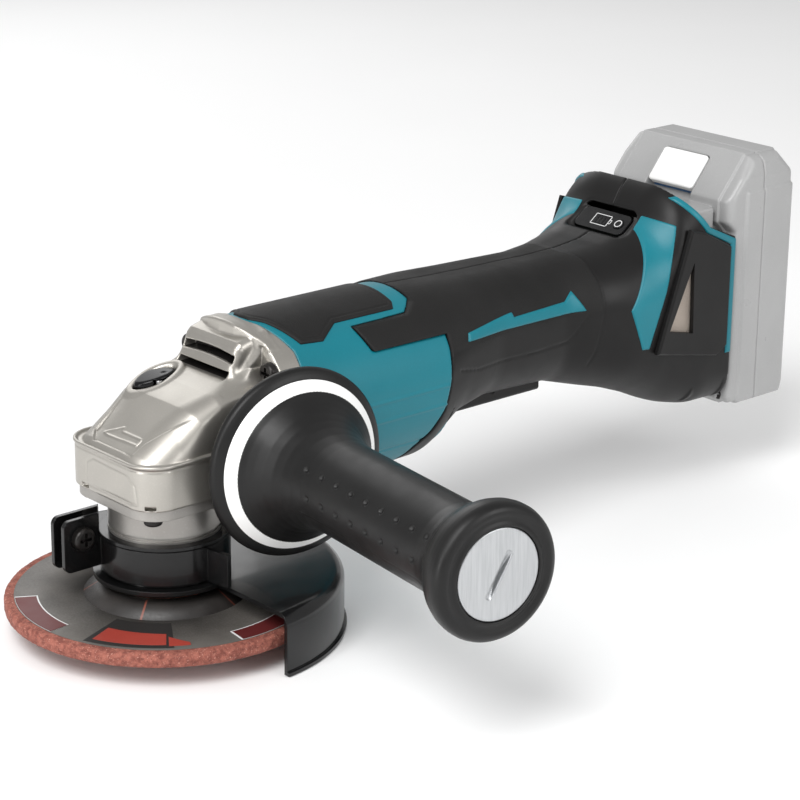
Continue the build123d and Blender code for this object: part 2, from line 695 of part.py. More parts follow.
with BuildPart() as shells:
    add(body(0.0))
    add(body(SHELL_WALL), mode=Mode.SUBTRACT)
    for x, z, half in HOUSING_SCREWS:
        with Locations(Location((x, 0, z), (90, 0, 0))):
            Cylinder(4.0, 2 * half)
    for side in (-1, 1):
        with Locations((PADDLE_PIVOT[0], side * 15.6, PADDLE_PIVOT[1] + 1.0)):
            Box(8.0, 3.2, 8.0)
    add(front_region(SEAM_GAP), mode=Mode.SUBTRACT)
    with BuildSketch(motor_plane(70.0)):
        Circle(HOUSING_R - 3.0 + SEAM_GAP)
    extrude(amount=MOTOR_END_X + 0.5 - 70.0, mode=Mode.SUBTRACT)
    add(plate(PADDLE_OPENING, -PADDLE_HALF - 1.0, PADDLE_HALF + 1.0), mode=Mode.SUBTRACT)
    with Locations(Location((PADDLE_PIVOT[0], 0, PADDLE_PIVOT[1]), (90, 0, 0))):
        Cylinder(2.0, 32.0, mode=Mode.SUBTRACT)
    add(plate(TOP_CUT, -60, 60), mode=Mode.SUBTRACT)
    # floor of the battery bay, with the opening for the terminal block
    with BuildSketch(Plane.YZ.offset(RAIL_X - 5.0)):
        with Locations((0, 76.0)):
            RectangleRounded(72.0, 88.0, 12.0)
        with Locations((0, 61.0)):
            Rectangle(36.4, 30.4, mode=Mode.SUBTRACT)
    extrude(amount=2.5)
    # rear wall, whose lips hold the battery's rails
    with BuildSketch(Plane.YZ.offset(REST_X - 2.5)):
        with Locations((0, 66.0)):
            RectangleRounded(75.0, 70.0, 12.0)
        with Locations((0, 90.0)):
            Rectangle(2 * RAIL_NECK + 1.0, 102.0, mode=Mode.SUBTRACT)
    extrude(amount=2.5)
    for y0, y1 in ((-40.0, -30.0), (30.0, 40.0)):
        add(plate(MESH_WINDOW, y0, y1), mode=Mode.SUBTRACT)
    with BuildSketch(PANEL):
        RectangleRounded(28.2, 11.2, 3.0)
    extrude(amount=8.0, both=True, mode=Mode.SUBTRACT)
    for x, z, half in HOUSING_SCREWS:
        with Locations(Location((x, 0, z), (90, 0, 0))):
            Cylinder(1.5, 2 * half, mode=Mode.SUBTRACT)
        with Locations(Location((x, half - 3.0, z), (-90, 0, 0))):
            Cylinder(SCREW_HEAD_R + 0.2, 30.0, align=MIN_BASE, mode=Mode.SUBTRACT)

with BuildPart() as handle_left:
    add(shells.part)
    split(bisect_by=Plane.XZ, keep=Keep.TOP)
handle_left.part.label = "handle_left"
export_step(handle_left.part, "parts/handle_left.step")

with BuildPart() as handle_right:
    add(shells.part)
    split(bisect_by=Plane.XZ, keep=Keep.BOTTOM)
handle_right.part.label = "handle_right"
export_step(handle_right.part, "parts/handle_right.step")

with BuildPart() as housing_screws:
    for x, z, half in HOUSING_SCREWS:
        with Locations(Location((x, half - 3.0, z), (-90, 0, 0))):
            add(pan_screw(SCREW_HEAD_R, 2.2, 1.5, 2 * half - 8.0))
housing_screws.part.label = "housing_screws"
export_step(housing_screws.part, "parts/housing_screws.step")


# ---------------------------------------------------------------- coloured trim on the shells
SKIN = 0.6
ACCENT = [
    (127.4, 87.2),
    (198.0, 86.1),
    (192.4, 95.0),
    (187.6, 91.4),
    (157.1, 90.9),
    (156.4, 93.0),
    (128.4, 90.6),
]
STRIPE = [(218.6, 83.4), (240.0, 118.4), (246.5, 115.5), (228.5, 65.0), (224.9, 65.2)]
REAR_EDGE = [(252.0, 126.5), (262.8, 113.1), (REST_X - 0.2, 105.4), (REST_X - 0.2, 54.0), (276.4, 54.0),
             (276.4, 103.4), (260.9, 110.8), (249.0, 125.8)]


def skin_patch(outlines, side):
    """Thin pieces lying on one side of the shells, cut to outlines in the side view."""
    y0, y1 = sorted((side * 20.0, side * 60.0))
    with BuildPart() as cutters:
        for outline in outlines:
            add(plate(outline, y0, y1))
    with BuildPart() as made:
        add(body(-SKIN))
        add(body(0.0), mode=Mode.SUBTRACT)
        add(cutters.part, mode=Mode.INTERSECT)
    return made.part


with BuildPart() as side_accents:
    add(skin_patch([ACCENT], -1))
    add(skin_patch([ACCENT], 1))
side_accents.part.label = "side_accents"
export_step(side_accents.part, "parts/side_accents.step")

with BuildPart() as rear_trim:
    add(skin_patch([STRIPE, REAR_EDGE], -1))
    add(skin_patch([STRIPE, REAR_EDGE], 1))
rear_trim.part.label = "rear_trim"
export_step(rear_trim.part, "parts/rear_trim.step")

# ---------------------------------------------------------------- dust covers
COVER = [(249.4, 114.4), (258.8, 111.6), (275.2, 103.0), (275.2, 58.5), (268.5, 54.8), (231.0, 62.5)]
for side, side_name in ((-1, "left"), (1, "right")):
    y0, y1 = sorted((side * HOUSING_HALF, side * (HOUSING_HALF + 2.6)))
    with BuildPart() as dust_cover:
        add(plate(COVER, y0, y1))
        chamfer(dust_cover.faces().sort_by(Axis.Y)[0 if side < 0 else -1].edges(), 0.8)
        add(plate(MESH_WINDOW, -50, 50), mode=Mode.SUBTRACT)
    dust_cover.part.label = "dust_cover_" + side_name
    export_step(dust_cover.part, "parts/dust_cover_" + side_name + ".step")
    y0, y1 = sorted((side * HOUSING_HALF, side * (HOUSING_HALF + 0.5)))
    dust_mesh = plate(MESH_WINDOW, y0, y1)
    dust_mesh.label = "dust_mesh_" + side_name
    export_step(dust_mesh, "parts/dust_mesh_" + side_name + ".step")

# ---------------------------------------------------------------- indicator panel
with BuildPart() as indicator_panel:
    with BuildSketch(PANEL.offset(-2.6)):
        RectangleRounded(28.0, 11.0, 3.0)
        with Locations((BUTTON_Y, 0)):
            Circle(2.6, mode=Mode.SUBTRACT)
    extrude(amount=3.0)
indicator_panel.part.label = "indicator_panel"
export_step(indicator_panel.part, "parts/indicator_panel.step")

with BuildPart() as indicator_button:
    with BuildSketch(PANEL.offset(-1.6)):
        with Locations((BUTTON_Y, 0)):
            Circle(2.5)
    extrude(amount=2.4)
indicator_button.part.label = "indicator_button"
export_step(indicator_button.part, "parts/indicator_button.step")

# ---------------------------------------------------------------- electrics inside the shells
with BuildPart() as controller:
    with Locations((236.0, 0, 78.0)):
        Box(28.0, 48.0, 32.0)
    fillet(controller.edges().filter_by(Axis.X), 3.0)
    with BuildSketch(Plane.XY.offset(94.0)):
        with Locations((236.0, 0)):
            with GridLocations(4.5, 1.0, 6, 1):
                Rectangle(2.0, 40.0)
    extrude(amount=-3.0, mode=Mode.SUBTRACT)
controller.part.label = "controller"
export_step(controller.part, "parts/controller.step")

with BuildPart() as motor_leads:
    for y in (-4.0, 0.0, 4.0):
        with BuildSketch(Plane.YZ.offset(100.5)):
            with Locations((y, MOTOR_Z + 21.5)):
                Circle(1.4)
        extrude(amount=221.8 - 100.5)
motor_leads.part.label = "motor_leads"
export_step(motor_leads.part, "parts/motor_leads.step")

with BuildPart() as terminal_block:
    with Locations((257.0, 0, 61.0)):
        Box(9.0, 36.0, 30.0)
    for y in (-12.0, 12.0):
        with Locations((264.5, y, 58.0)):
            Box(7.0, 1.0, 14.0)
terminal_block.part.label = "terminal_block"
export_step(terminal_block.part, "parts/terminal_block.step")

with BuildPart() as switch_unit:
    with Locations((164.0, 0, 77.0)):
        Box(24.0, 12.0, 14.0)
    with Locations((180.0, 0, 71.0)):
        Box(8.0, 12.0, 2.0)
    with BuildSketch(Plane.XY.offset(68.0)):
        with Locations((165.0, 0)):
            Circle(1.6)
    extrude(amount=3.0)
switch_unit.part.label = "switch_unit"
export_step(switch_unit.part, "parts/switch_unit.step")

# ---------------------------------------------------------------- paddle switch lever
PADDLE_SIDE = [
    (PADDLE_X0, 51.5),
    (PADDLE_X0 + 3.5, PADDLE_BOTTOM_Z),
    (PADDLE_X1, PADDLE_BOTTOM_Z),
    (PADDLE_X1, 57.5),
    (183.0, 60.5),
    (150.0, 60.0),
    (141.0, 60.5),
    (PADDLE_X0, 57.5),
]
PADDLE_INSIDE = [
    (PADDLE_X0 + 9.5, 51.6),
    (PADDLE_X1 - 2.0, 51.6),
    (PADDLE_X1 - 2.0, 70.0),
    (PADDLE_X0 + 9.5, 70.0),
]
with BuildPart() as paddle_lever:
    add(plate(PADDLE_SIDE, -PADDLE_HALF, PADDLE_HALF))
    fillet(paddle_lever.edges().filter_by(Axis.X).sort_by(Axis.Z)[:2], 1.8)
    add(plate(PADDLE_INSIDE, -PADDLE_HALF + 2.0, PADDLE_HALF - 2.0), mode=Mode.SUBTRACT)
    with Locations((171.5, 0, 58.6)):
        Box(3.0, 2 * PADDLE_HALF - 3.0, 14.0)
    with Locations((165.0, 0, 64.8)):
        Box(14.0, 6.0, 1.6)
    with Locations((159.0, 0, 50.5)):
        Box(14.0, 9.0, 3.0, mode=Mode.SUBTRACT)
    with Locations(Location((PADDLE_PIVOT[0], 0, PADDLE_PIVOT[1]), (90, 0, 0))):
        Cylinder(2.0 + RUNNING, 40.0, mode=Mode.SUBTRACT)
    with Locations(Location((LOCK_PIVOT[0], 0, LOCK_PIVOT[1]), (90, 0, 0))):
        Cylinder(1.5 + RUNNING, 40.0, mode=Mode.SUBTRACT)
paddle_lever.part.label = "paddle_lever"
export_step(paddle_lever.part, "parts/paddle_lever.step")

paddle_pin = tube(2.0, 0, 31.6, Plane(origin=(PADDLE_PIVOT[0], 15.8, PADDLE_PIVOT[1]), z_dir=(0, -1, 0)))
paddle_pin.label = "paddle_pin"
export_step(paddle_pin, "parts/paddle_pin.step")

LOCK_SIDE = [(158.0, 48.4), (162.5, 48.4), (163.0, 57.0), (161.5, 61.0), (158.5, 61.0), (157.0, 57.0)]
with BuildPart() as lock_off_lever:
    add(plate(LOCK_SIDE, -4.0, 4.0))
    with Locations(Location((LOCK_PIVOT[0], 0, LOCK_PIVOT[1]), (90, 0, 0))):
        Cylinder(1.5, 25.6)
lock_off_lever.part.label = "lock_off_lever"
export_step(lock_off_lever.part, "parts/lock_off_lever.step")

with BuildPart() as paddle_spring:
    for turn in range(6):
        with Locations((180.0, 0, 53.5 + 2.9 * turn)):
            Torus(3.0, 0.5)
paddle_spring.part.label = "paddle_spring"
export_step(paddle_spring.part, "parts/paddle_spring.step")

# ---------------------------------------------------------------- wheel guard and its clamp
with BuildPart() as wheel_guard:
    with BuildSketch(Plane.XY.offset(GUARD_PLATE_Z)):
        Circle(GUARD_R)
        with Locations((GUARD_EDGE_X - 100, 0)):
            Rectangle(200, 200, mode=Mode.SUBTRACT)
        Circle(28.0)
    extrude(amount=GUARD_T)
    with BuildSketch(Plane.XY.offset(GUARD_BOTTOM_Z)):
        Circle(GUARD_R)
        Circle(GUARD_R - GUARD_T, mode=Mode.SUBTRACT)
        with Locations((GUARD_EDGE_X - 100, 0)):
            Rectangle(200, 200, mode=Mode.SUBTRACT)
    extrude(amount=GUARD_PLATE_Z + GUARD_T - GUARD_BOTTOM_Z)
    top_arcs = wheel_guard.edges().filter_by(GeomType.CIRCLE).group_by(Axis.Z)[-1]
    outer_edge = top_arcs.sort_by(SortBy.RADIUS)[-1]
    fillet(outer_edge, 5.0)
    with BuildSketch(Plane.XY.offset(GUARD_BOTTOM_Z)):
        Circle(GUARD_R + 1.0)
        Circle(GUARD_R - GUARD_T, mode=Mode.SUBTRACT)
        with Locations((GUARD_EDGE_X - 100, 0)):
            Rectangle(200, 200, mode=Mode.SUBTRACT)
    extrude(amount=1.4)
    add(tube(COLLAR_R + COLLAR_T, 0, COLLAR_TOP_Z - GUARD_PLATE_Z, Plane.XY.offset(GUARD_PLATE_Z)))
    add(tube(25.6, 0, 1.4, Plane.XY.offset(COLLAR_TOP_Z - 1.4)))
    with BuildSketch(Plane.XY.offset(GUARD_PLATE_Z)):
        Circle(COLLAR_R)
    extrude(amount=30, mode=Mode.SUBTRACT)
wheel_guard.part.label = "wheel_guard"
export_step(wheel_guard.part, "parts/wheel_guard.step")

BAND_Z = (16.0, 29.6)
NUT_H = 4.0
with BuildPart() as clamp_band:
    add(tube(COLLAR_R + COLLAR_T + 1.8, 0, BAND_Z[1] - BAND_Z[0], Plane.XY.offset(BAND_Z[0])))
    for y in LUG_Y:
        with Locations((-27.5, y, 28.5)):
            Box(25.0, LUG_T, 21.0)
        fillet(clamp_band.edges().filter_by(Axis.Y).group_by(Axis.X)[0], 3.0)
    with Locations(Location((3.0, -29.0, 21.9), (0, 0, 10))):
        Box(2.0, 12.0, 13.2)
    with BuildSketch(Plane.XY.offset(0)):
        Circle(COLLAR_R + COLLAR_T)
    extrude(amount=60, mode=Mode.SUBTRACT)
    with BuildSketch(Plane.XY.offset(BAND_Z[1] + 0.2)):
        Circle(25.8)
    extrude(amount=30, mode=Mode.SUBTRACT)
    with Locations((-24.0, sum(LUG_Y) / 2, 22.0)):
        Box(20.0, LUG_Y[1] - LUG_Y[0] - LUG_T, 30.0, mode=Mode.SUBTRACT)
    with Locations(Location((LUG_X, 14.0, LUG_Z), (90, 0, 0))):
        Cylinder(2.5, 30.0, mode=Mode.SUBTRACT)
clamp_band.part.label = "clamp_band"
export_step(clamp_band.part, "parts/clamp_band.step")

with BuildPart() as clamp_screw:
    with Locations(Location((LUG_X, LUG_Y[0] - LUG_T / 2, LUG_Z), (90, 0, 0))):
        add(pan_screw(4.6, 3.2, 2.5, 15.0))
    with BuildSketch(Plane.XZ.offset(-LUG_Y[1] - LUG_T / 2 - NUT_H)):
        with Locations((LUG_X, LUG_Z)):
            RegularPolygon(4.6, 6)
            Circle(2.5, mode=Mode.SUBTRACT)
    extrude(amount=NUT_H)
clamp_screw.part.label = "clamp_screw"
export_step(clamp_screw.part, "parts/clamp_screw.step")

# ---------------------------------------------------------------- side handle
handle_axis_plane = handle_plane(0)
SIDE_SKETCH = Plane(
    origin=handle_axis_plane.origin,
    x_dir=(0, 0, 1),
    z_dir=(-handle_axis_plane.z_dir.Y, handle_axis_plane.z_dir.X, 0),
)
HANDLE_AXIS = Axis(handle_axis_plane.origin, handle_axis_plane.z_dir)

with BuildPart() as side_handle_bolt:
    add(tube(BOLT_R - RUNNING, 0, 40.5, handle_plane(20.5)))
    with BuildSketch(handle_plane(BOSS_S + 0.3)):
        RegularPolygon(8.5, 6)
    extrude(amount=5.0)
side_handle_bolt.part.label = "side_handle_bolt"
export_step(side_handle_bolt.part, "parts/side_handle_bolt.step")

with BuildPart() as side_handle_grip:
    with BuildSketch(SIDE_SKETCH):
        with BuildLine():
            Polyline((0, 61.0), (BOLT_R - RUNNING, 61.0), (BOLT_R - RUNNING, 38.3), (35.6, 38.3),
                     (37.2, 39.8), (37.2, 41.4), (36.4, 42.6), (33.2, 44.3), (31.8, 42.9),
                     (28.1, 46.5), (29.5, 48.0))
            Spline((29.5, 48.0), (23.4, 54.8), (19.4, 64.0), (17.7, 78.0), tangents=((-0.7, 0.7), (0, 1)))
            Line((17.7, 78.0), (17.7, 142.0))
            Spline((17.7, 142.0), (19.5, 154.0), (23.6, 161.5), (25.3, 166.0), tangents=((0, 1), (0, 1)))
            Polyline((25.3, 166.0), (25.3, 169.0), (23.4, 171.8), (17.1, 172.6), (17.1, 169.0),
                     (0, 169.0), (0, 61.0))
        make_face()
    revolve(axis=HANDLE_AXIS)
side_handle_grip.part.label = "side_handle_grip"
export_step(side_handle_grip.part, "parts/side_handle_grip.step")

with BuildPart() as side_handle_ring:
    with BuildSketch(SIDE_SKETCH):
        with BuildLine():
            Polyline((33.2, 44.3), (31.8, 42.9), (28.1, 46.5), (29.5, 48.0), close=True)
        make_face()
    revolve(axis=HANDLE_AXIS)
side_handle_ring.part.label = "side_handle_ring"
export_step(side_handle_ring.part, "parts/side_handle_ring.step")

with BuildPart() as side_handle_cap:
    with BuildSketch(handle_plane(169.0)):
        Circle(17.0)
    extrude(amount=3.4)
    fillet(side_handle_cap.edges().sort_by(Axis.Y)[0], 1.0)
    with BuildSketch(handle_plane(172.4)):
        SlotOverall(17.0, 2.2)
    extrude(amount=-2.2, mode=Mode.SUBTRACT)
side_handle_cap.part.label = "side_handle_cap"
export_step(side_handle_cap.part, "parts/side_handle_cap.step")

# ---------------------------------------------------------------- battery
BATTERY_SIDE = [
    (281.0, BATTERY_Z0 + 3),
    (284.0, BATTERY_Z0),
    (317.0, BATTERY_Z0),
    (BATTERY_X1, BATTERY_Z0 + 6),
    (BATTERY_X1, 129.0),
    (311.0, BATTERY_Z1),
    (292.0, BATTERY_Z1),
    (276.0, 121.0),
    (276.0, 111.5),
    (281.0, 106.5),
]
CASE_SPLIT_X = 299.0
CASE_WALL = 1.3
CELL_R = 9.1
CELL_SPACE_HALF = 33.5
CELL_SPACE = [
    (281.0 + CASE_WALL, 36.0),
    (BATTERY_X1 - CASE_WALL, 36.0),
    (BATTERY_X1 - CASE_WALL, 129.6),
    (286.5, 129.6),
    (281.0 + CASE_WALL, 124.6),
]
LATCH = Plane(origin=(283.0, 0, 129.3), x_dir=(0, 1, 0), z_dir=(-19 / 24.84, 0, 16 / 24.84))
LATCH_TRAVEL = 4.5
CASE_SCREWS = [(290.0, 134.0), (283.5, 32.0)]

with BuildPart() as battery_case:
    add(plate(BATTERY_SIDE, -BATTERY_HALF, BATTERY_HALF))
    with BuildSketch(Plane.XY):
        with Locations(((276.0 + BATTERY_X1) / 2, 0)):
            RectangleRounded(BATTERY_X1 - 276.0, 2 * BATTERY_HALF, 6.0)
    extrude(amount=200.0, mode=Mode.INTERSECT)
    with BuildSketch(Plane.XY.offset(40.0)):
        with Locations(((RAIL_X + 274.5) / 2, 0)):
            Rectangle(274.5 - RAIL_X, 2 * (RAIL_HALF - 0.5))
        with Locations((277.0, 0)):
            Rectangle(10.0, 2 * RAIL_NECK)
    extrude(amount=78.0)
    # space for the cells and the board
    add(plate(CELL_SPACE, -CELL_SPACE_HALF, CELL_SPACE_HALF), mode=Mode.SUBTRACT)
    with Locations((276.3, 0, 79.0)):
        Box(12.0, 50.0, 62.0, mode=Mode.SUBTRACT)
    for y in (-12.0, 12.0):
        with Locations((266.0, y, 54.0)):
            Box(8.0, 2.4, 36.0, mode=Mode.SUBTRACT)
    with BuildSketch(LATCH.offset(-6.0)):
        with Locations((0, LATCH_TRAVEL / 2)):
            RectangleRounded(26.6, 17.6 + LATCH_TRAVEL, 2.0)
    extrude(amount=12.0, mode=Mode.SUBTRACT)
    for x, z in CASE_SCREWS:
        for y in (-30.0, 30.0):
            with BuildSketch(Plane.YZ.offset(x)):
                with Locations((y, z)):
                    Circle(1.4)
            extrude(amount=22.0, mode=Mode.SUBTRACT)
            with BuildSketch(Plane.YZ.offset(x)):
                with Locations((y, z)):
                    Circle(2.9)
            extrude(amount=-16.0, mode=Mode.SUBTRACT)

split_plane = Plane.YZ.offset(CASE_SPLIT_X)
with BuildPart() as battery_case_front:
    add(battery_case.part)
    split(bisect_by=split_plane, keep=Keep.BOTTOM)
battery_case_front.part.label = "battery_case_front"
export_step(battery_case_front.part, "parts/battery_case_front.step")

with BuildPart() as battery_case_back:
    add(battery_case.part)
    split(bisect_by=split_plane, keep=Keep.TOP)
battery_case_back.part.label = "battery_case_back"
export_step(battery_case_back.part, "parts/battery_case_back.step")

with BuildPart() as battery_cells:
    for column in range(2):
        for row in range(5):
            where = Location((291.5 + 18.3 * column, 0, 45.8 + 18.5 * row), (90, 0, 0))
            with Locations(where):
                Cylinder(CELL_R, 65.0)
battery_cells.part.label = "battery_cells"
export_step(battery_cells.part, "parts/battery_cells.step")

with BuildPart() as battery_board:
    with Locations((276.0, 0, 79.0)):
        Box(1.6, 48.0, 60.0)
battery_board.part.label = "battery_board"
export_step(battery_board.part, "parts/battery_board.step")

with BuildPart() as battery_terminals:
    for y in (-12.0, 12.0):
        with Locations((272.8, y, 58.0)):
            Box(4.6, 4.0, 14.0)
battery_terminals.part.label = "battery_terminals"
export_step(battery_terminals.part, "parts/battery_terminals.step")

with BuildPart() as battery_case_screws:
    for x, z in CASE_SCREWS:
        for y in (-30.0, 30.0):
            with Locations(Plane(origin=(x, y, z), x_dir=(0, 1, 0), z_dir=(-1, 0, 0))):
                add(pan_screw(2.7, 1.8, 1.4, 20.0))
battery_case_screws.part.label = "battery_case_screws"
export_step(battery_case_screws.part, "parts/battery_case_screws.step")

with BuildPart() as battery_latch:
    with BuildSketch(LATCH.offset(-2.4)):
        RectangleRounded(26.0, 17.0, 1.8)
    extrude(amount=3.0)
    fillet(battery_latch.faces().sort_by(Axis((0, 0, 0), (-0.765, 0, 0.644)))[-1].edges(), 0.8)
battery_latch.part.label = "battery_latch"
export_step(battery_latch.part, "parts/battery_latch.step")
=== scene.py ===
import math

import bmesh
import bpy
import numpy as np
import openvdb as vdb
from mathutils import Matrix, Vector

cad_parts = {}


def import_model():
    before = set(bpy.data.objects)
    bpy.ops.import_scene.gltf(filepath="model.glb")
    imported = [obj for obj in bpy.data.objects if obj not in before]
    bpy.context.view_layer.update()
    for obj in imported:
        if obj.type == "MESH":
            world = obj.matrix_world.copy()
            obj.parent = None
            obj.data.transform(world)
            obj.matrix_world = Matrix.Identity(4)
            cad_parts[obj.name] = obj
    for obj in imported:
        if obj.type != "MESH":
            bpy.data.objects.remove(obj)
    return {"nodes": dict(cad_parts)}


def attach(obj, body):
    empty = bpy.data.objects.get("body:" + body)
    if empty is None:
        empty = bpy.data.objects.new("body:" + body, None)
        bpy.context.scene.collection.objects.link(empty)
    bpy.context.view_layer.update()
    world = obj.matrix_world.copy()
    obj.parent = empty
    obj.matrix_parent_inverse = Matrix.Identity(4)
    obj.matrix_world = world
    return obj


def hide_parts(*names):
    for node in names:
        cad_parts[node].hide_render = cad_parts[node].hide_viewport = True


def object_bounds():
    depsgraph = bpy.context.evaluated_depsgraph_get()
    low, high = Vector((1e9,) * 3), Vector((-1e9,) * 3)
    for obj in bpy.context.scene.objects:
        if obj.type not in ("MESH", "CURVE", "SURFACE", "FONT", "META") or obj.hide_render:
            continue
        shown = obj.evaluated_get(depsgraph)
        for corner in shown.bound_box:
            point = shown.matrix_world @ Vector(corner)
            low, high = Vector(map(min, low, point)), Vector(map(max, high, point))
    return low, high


# Looks for the cordless angle grinder. The spindle's axis is Z, and the tool runs back along +X.
# Shapes are worked out in millimetres, in the CAD frame, and written to meshes in metres.
# The cast and moulded shells are distance fields: a field holds, at each point of a fine lattice,
# the distance to the surface, negative inside. Taking the larger of two distances cuts one shape by
# the other, and taking the smaller joins them.

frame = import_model()
cad_lo, cad_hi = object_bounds()

MM = 0.001
FINE = 0.36     # spacing of the sample points on the gear housing
COARSE = 0.5     # and on the larger shells

MOTOR_Z = 71.0                          # height of the motor's axis
HOUSING_R = 36.5                        # outside of the motor housing
JOINT_X = 42.0                          # where gear housing and motor housing meet, at the sides
HEAD_HALF = 27.5                        # half the width of the gear housing's box
LOCK_PIN_XY = (5.3, 9.18)               # the shaft lock pin
BOX_SCREW_XY = 19.8                     # the bearing box screws, from the spindle along X and Y
HANDLE_ORIGIN = np.array([37.4, 0.0, 60.9])
HANDLE_YAW = math.radians(7.8)
HANDLE_DIR = np.array([-math.sin(HANDLE_YAW), -math.cos(HANDLE_YAW), 0.0])


# ---------------------------------------------------------------- materials
def new_material(name):
    """A material with its node tree and its Principled shader."""
    mat = bpy.data.materials.new(name)
    mat.use_nodes = True
    tree = mat.node_tree
    shader = tree.nodes["Principled BSDF"]
    return mat, tree, shader


def node(tree, kind, **settings):
    """Adds a node. A setting whose name starts with in_ is an input's value."""
    made = tree.nodes.new(kind)
    for key, value in settings.items():
        if key.startswith("in_"):
            made.inputs[key.removeprefix("in_")].default_value = value
        else:
            setattr(made, key, value)
    return made


def object_coords(tree, scale=(1, 1, 1), turn=(0, 0, 0)):
    """Object coordinates, stretched along the axes and turned."""
    coords = node(tree, "ShaderNodeTexCoord")
    mapping = node(tree, "ShaderNodeMapping")
    mapping.inputs["Scale"].default_value = scale
    mapping.inputs["Rotation"].default_value = turn
    tree.links.new(coords.outputs["Object"], mapping.inputs["Vector"])
    return mapping.outputs["Vector"]


def noise(tree, vector, scale, detail=4.0, rough=0.55):
    made = node(tree, "ShaderNodeTexNoise", in_Scale=scale, in_Detail=detail, in_Roughness=rough)
    tree.links.new(vector, made.inputs["Vector"])
    return made.outputs["Fac"]


def ramp(tree, value, low, high, out_low, out_high):
    """Maps low..high to out_low..out_high, and stays there beyond."""
    made = node(tree, "ShaderNodeMapRange")
    made.inputs["From Min"].default_value = low
    made.inputs["From Max"].default_value = high
    made.inputs["To Min"].default_value = out_low
    made.inputs["To Max"].default_value = out_high
    tree.links.new(value, made.inputs["Value"])
    return made.outputs["Result"]


def mix(tree, factor, a, b):
    """Mixes two colours, each a tuple or a socket."""
    made = node(tree, "ShaderNodeMix", data_type="RGBA")
    sockets = [s for s in made.inputs if s.type == "RGBA"]
    for socket, value in zip(sockets, (a, b)):
        if isinstance(value, (tuple, list)):
            socket.default_value = (*value[:3], 1.0)
        else:
            tree.links.new(value, socket)
    tree.links.new(factor, made.inputs["Factor"])
    return [s for s in made.outputs if s.type == "RGBA"][0]


def finish_material(tree, shader, color, rough, height, strength, distance, edge):
    """Links colour, roughness, bump and worn-looking rounded edges. Distance and edge are in mm."""
    tree.links.new(color, shader.inputs["Base Color"])
    tree.links.new(rough, shader.inputs["Roughness"])
    rounded = None
    if edge:
        rounded = node(tree, "ShaderNodeBevel", samples=4)
        rounded.inputs["Radius"].default_value = edge * MM
    if height is not None:
        bump = node(tree, "ShaderNodeBump")
        bump.inputs["Strength"].default_value = strength
        bump.inputs["Distance"].default_value = distance * MM
        tree.links.new(height, bump.inputs["Height"])
        if rounded:
            tree.links.new(rounded.outputs["Normal"], bump.inputs["Normal"])
        tree.links.new(bump.outputs["Normal"], shader.inputs["Normal"])
    elif rounded:
        tree.links.new(rounded.outputs["Normal"], shader.inputs["Normal"])


def finish(name, base, rough, metallic=0.0, coat=0.0, coat_rough=0.1, grain=1500.0, grain_height=0.02,
           strength=0.3, vary=0.12, rough_vary=0.05, stretch=(1, 1, 1), edge=0.35, cells=False, specks=None,
           shine=0.5):
    """A moulded, painted or machined surface: mottled colour, uneven gloss, and a fine grain."""
    mat, tree, shader = new_material(name)
    shader.inputs["Metallic"].default_value = metallic
    shader.inputs["Coat Weight"].default_value = coat
    shader.inputs["Coat Roughness"].default_value = coat_rough
    shader.inputs["Specular IOR Level"].default_value = shine
    vector = object_coords(tree, stretch)
    broad = noise(tree, vector, 28.0, 3.0)
    fine = noise(tree, vector, grain, 5.0, 0.65)
    dark = tuple(c * (1 - vary) for c in base)
    light = tuple(min(1.0, c * (1 + vary) + 0.002) for c in base)
    color = mix(tree, ramp(tree, broad, 0.3, 0.7, 0.0, 1.0), dark, light)
    bright = tuple(min(1.0, c * 1.5 + 0.004) for c in base)
    color = mix(tree, ramp(tree, fine, 0.55, 0.8, 0.0, 0.35), color, bright)
    if specks:
        speck_scale, threshold, speck_color = specks
        spot = noise(tree, vector, speck_scale, 2.0)
        color = mix(tree, ramp(tree, spot, threshold, threshold + 0.04, 0.0, 1.0), color, speck_color)
    gloss = ramp(tree, noise(tree, vector, 75.0, 4.0), 0.3, 0.7, rough - rough_vary, rough + rough_vary)
    height = fine
    if cells:
        cell = node(tree, "ShaderNodeTexVoronoi", in_Scale=grain)
        tree.links.new(vector, cell.inputs["Vector"])
        height = cell.outputs["Distance"]
    finish_material(tree, shader, color, gloss, height, strength, grain_height, edge)
    return mat


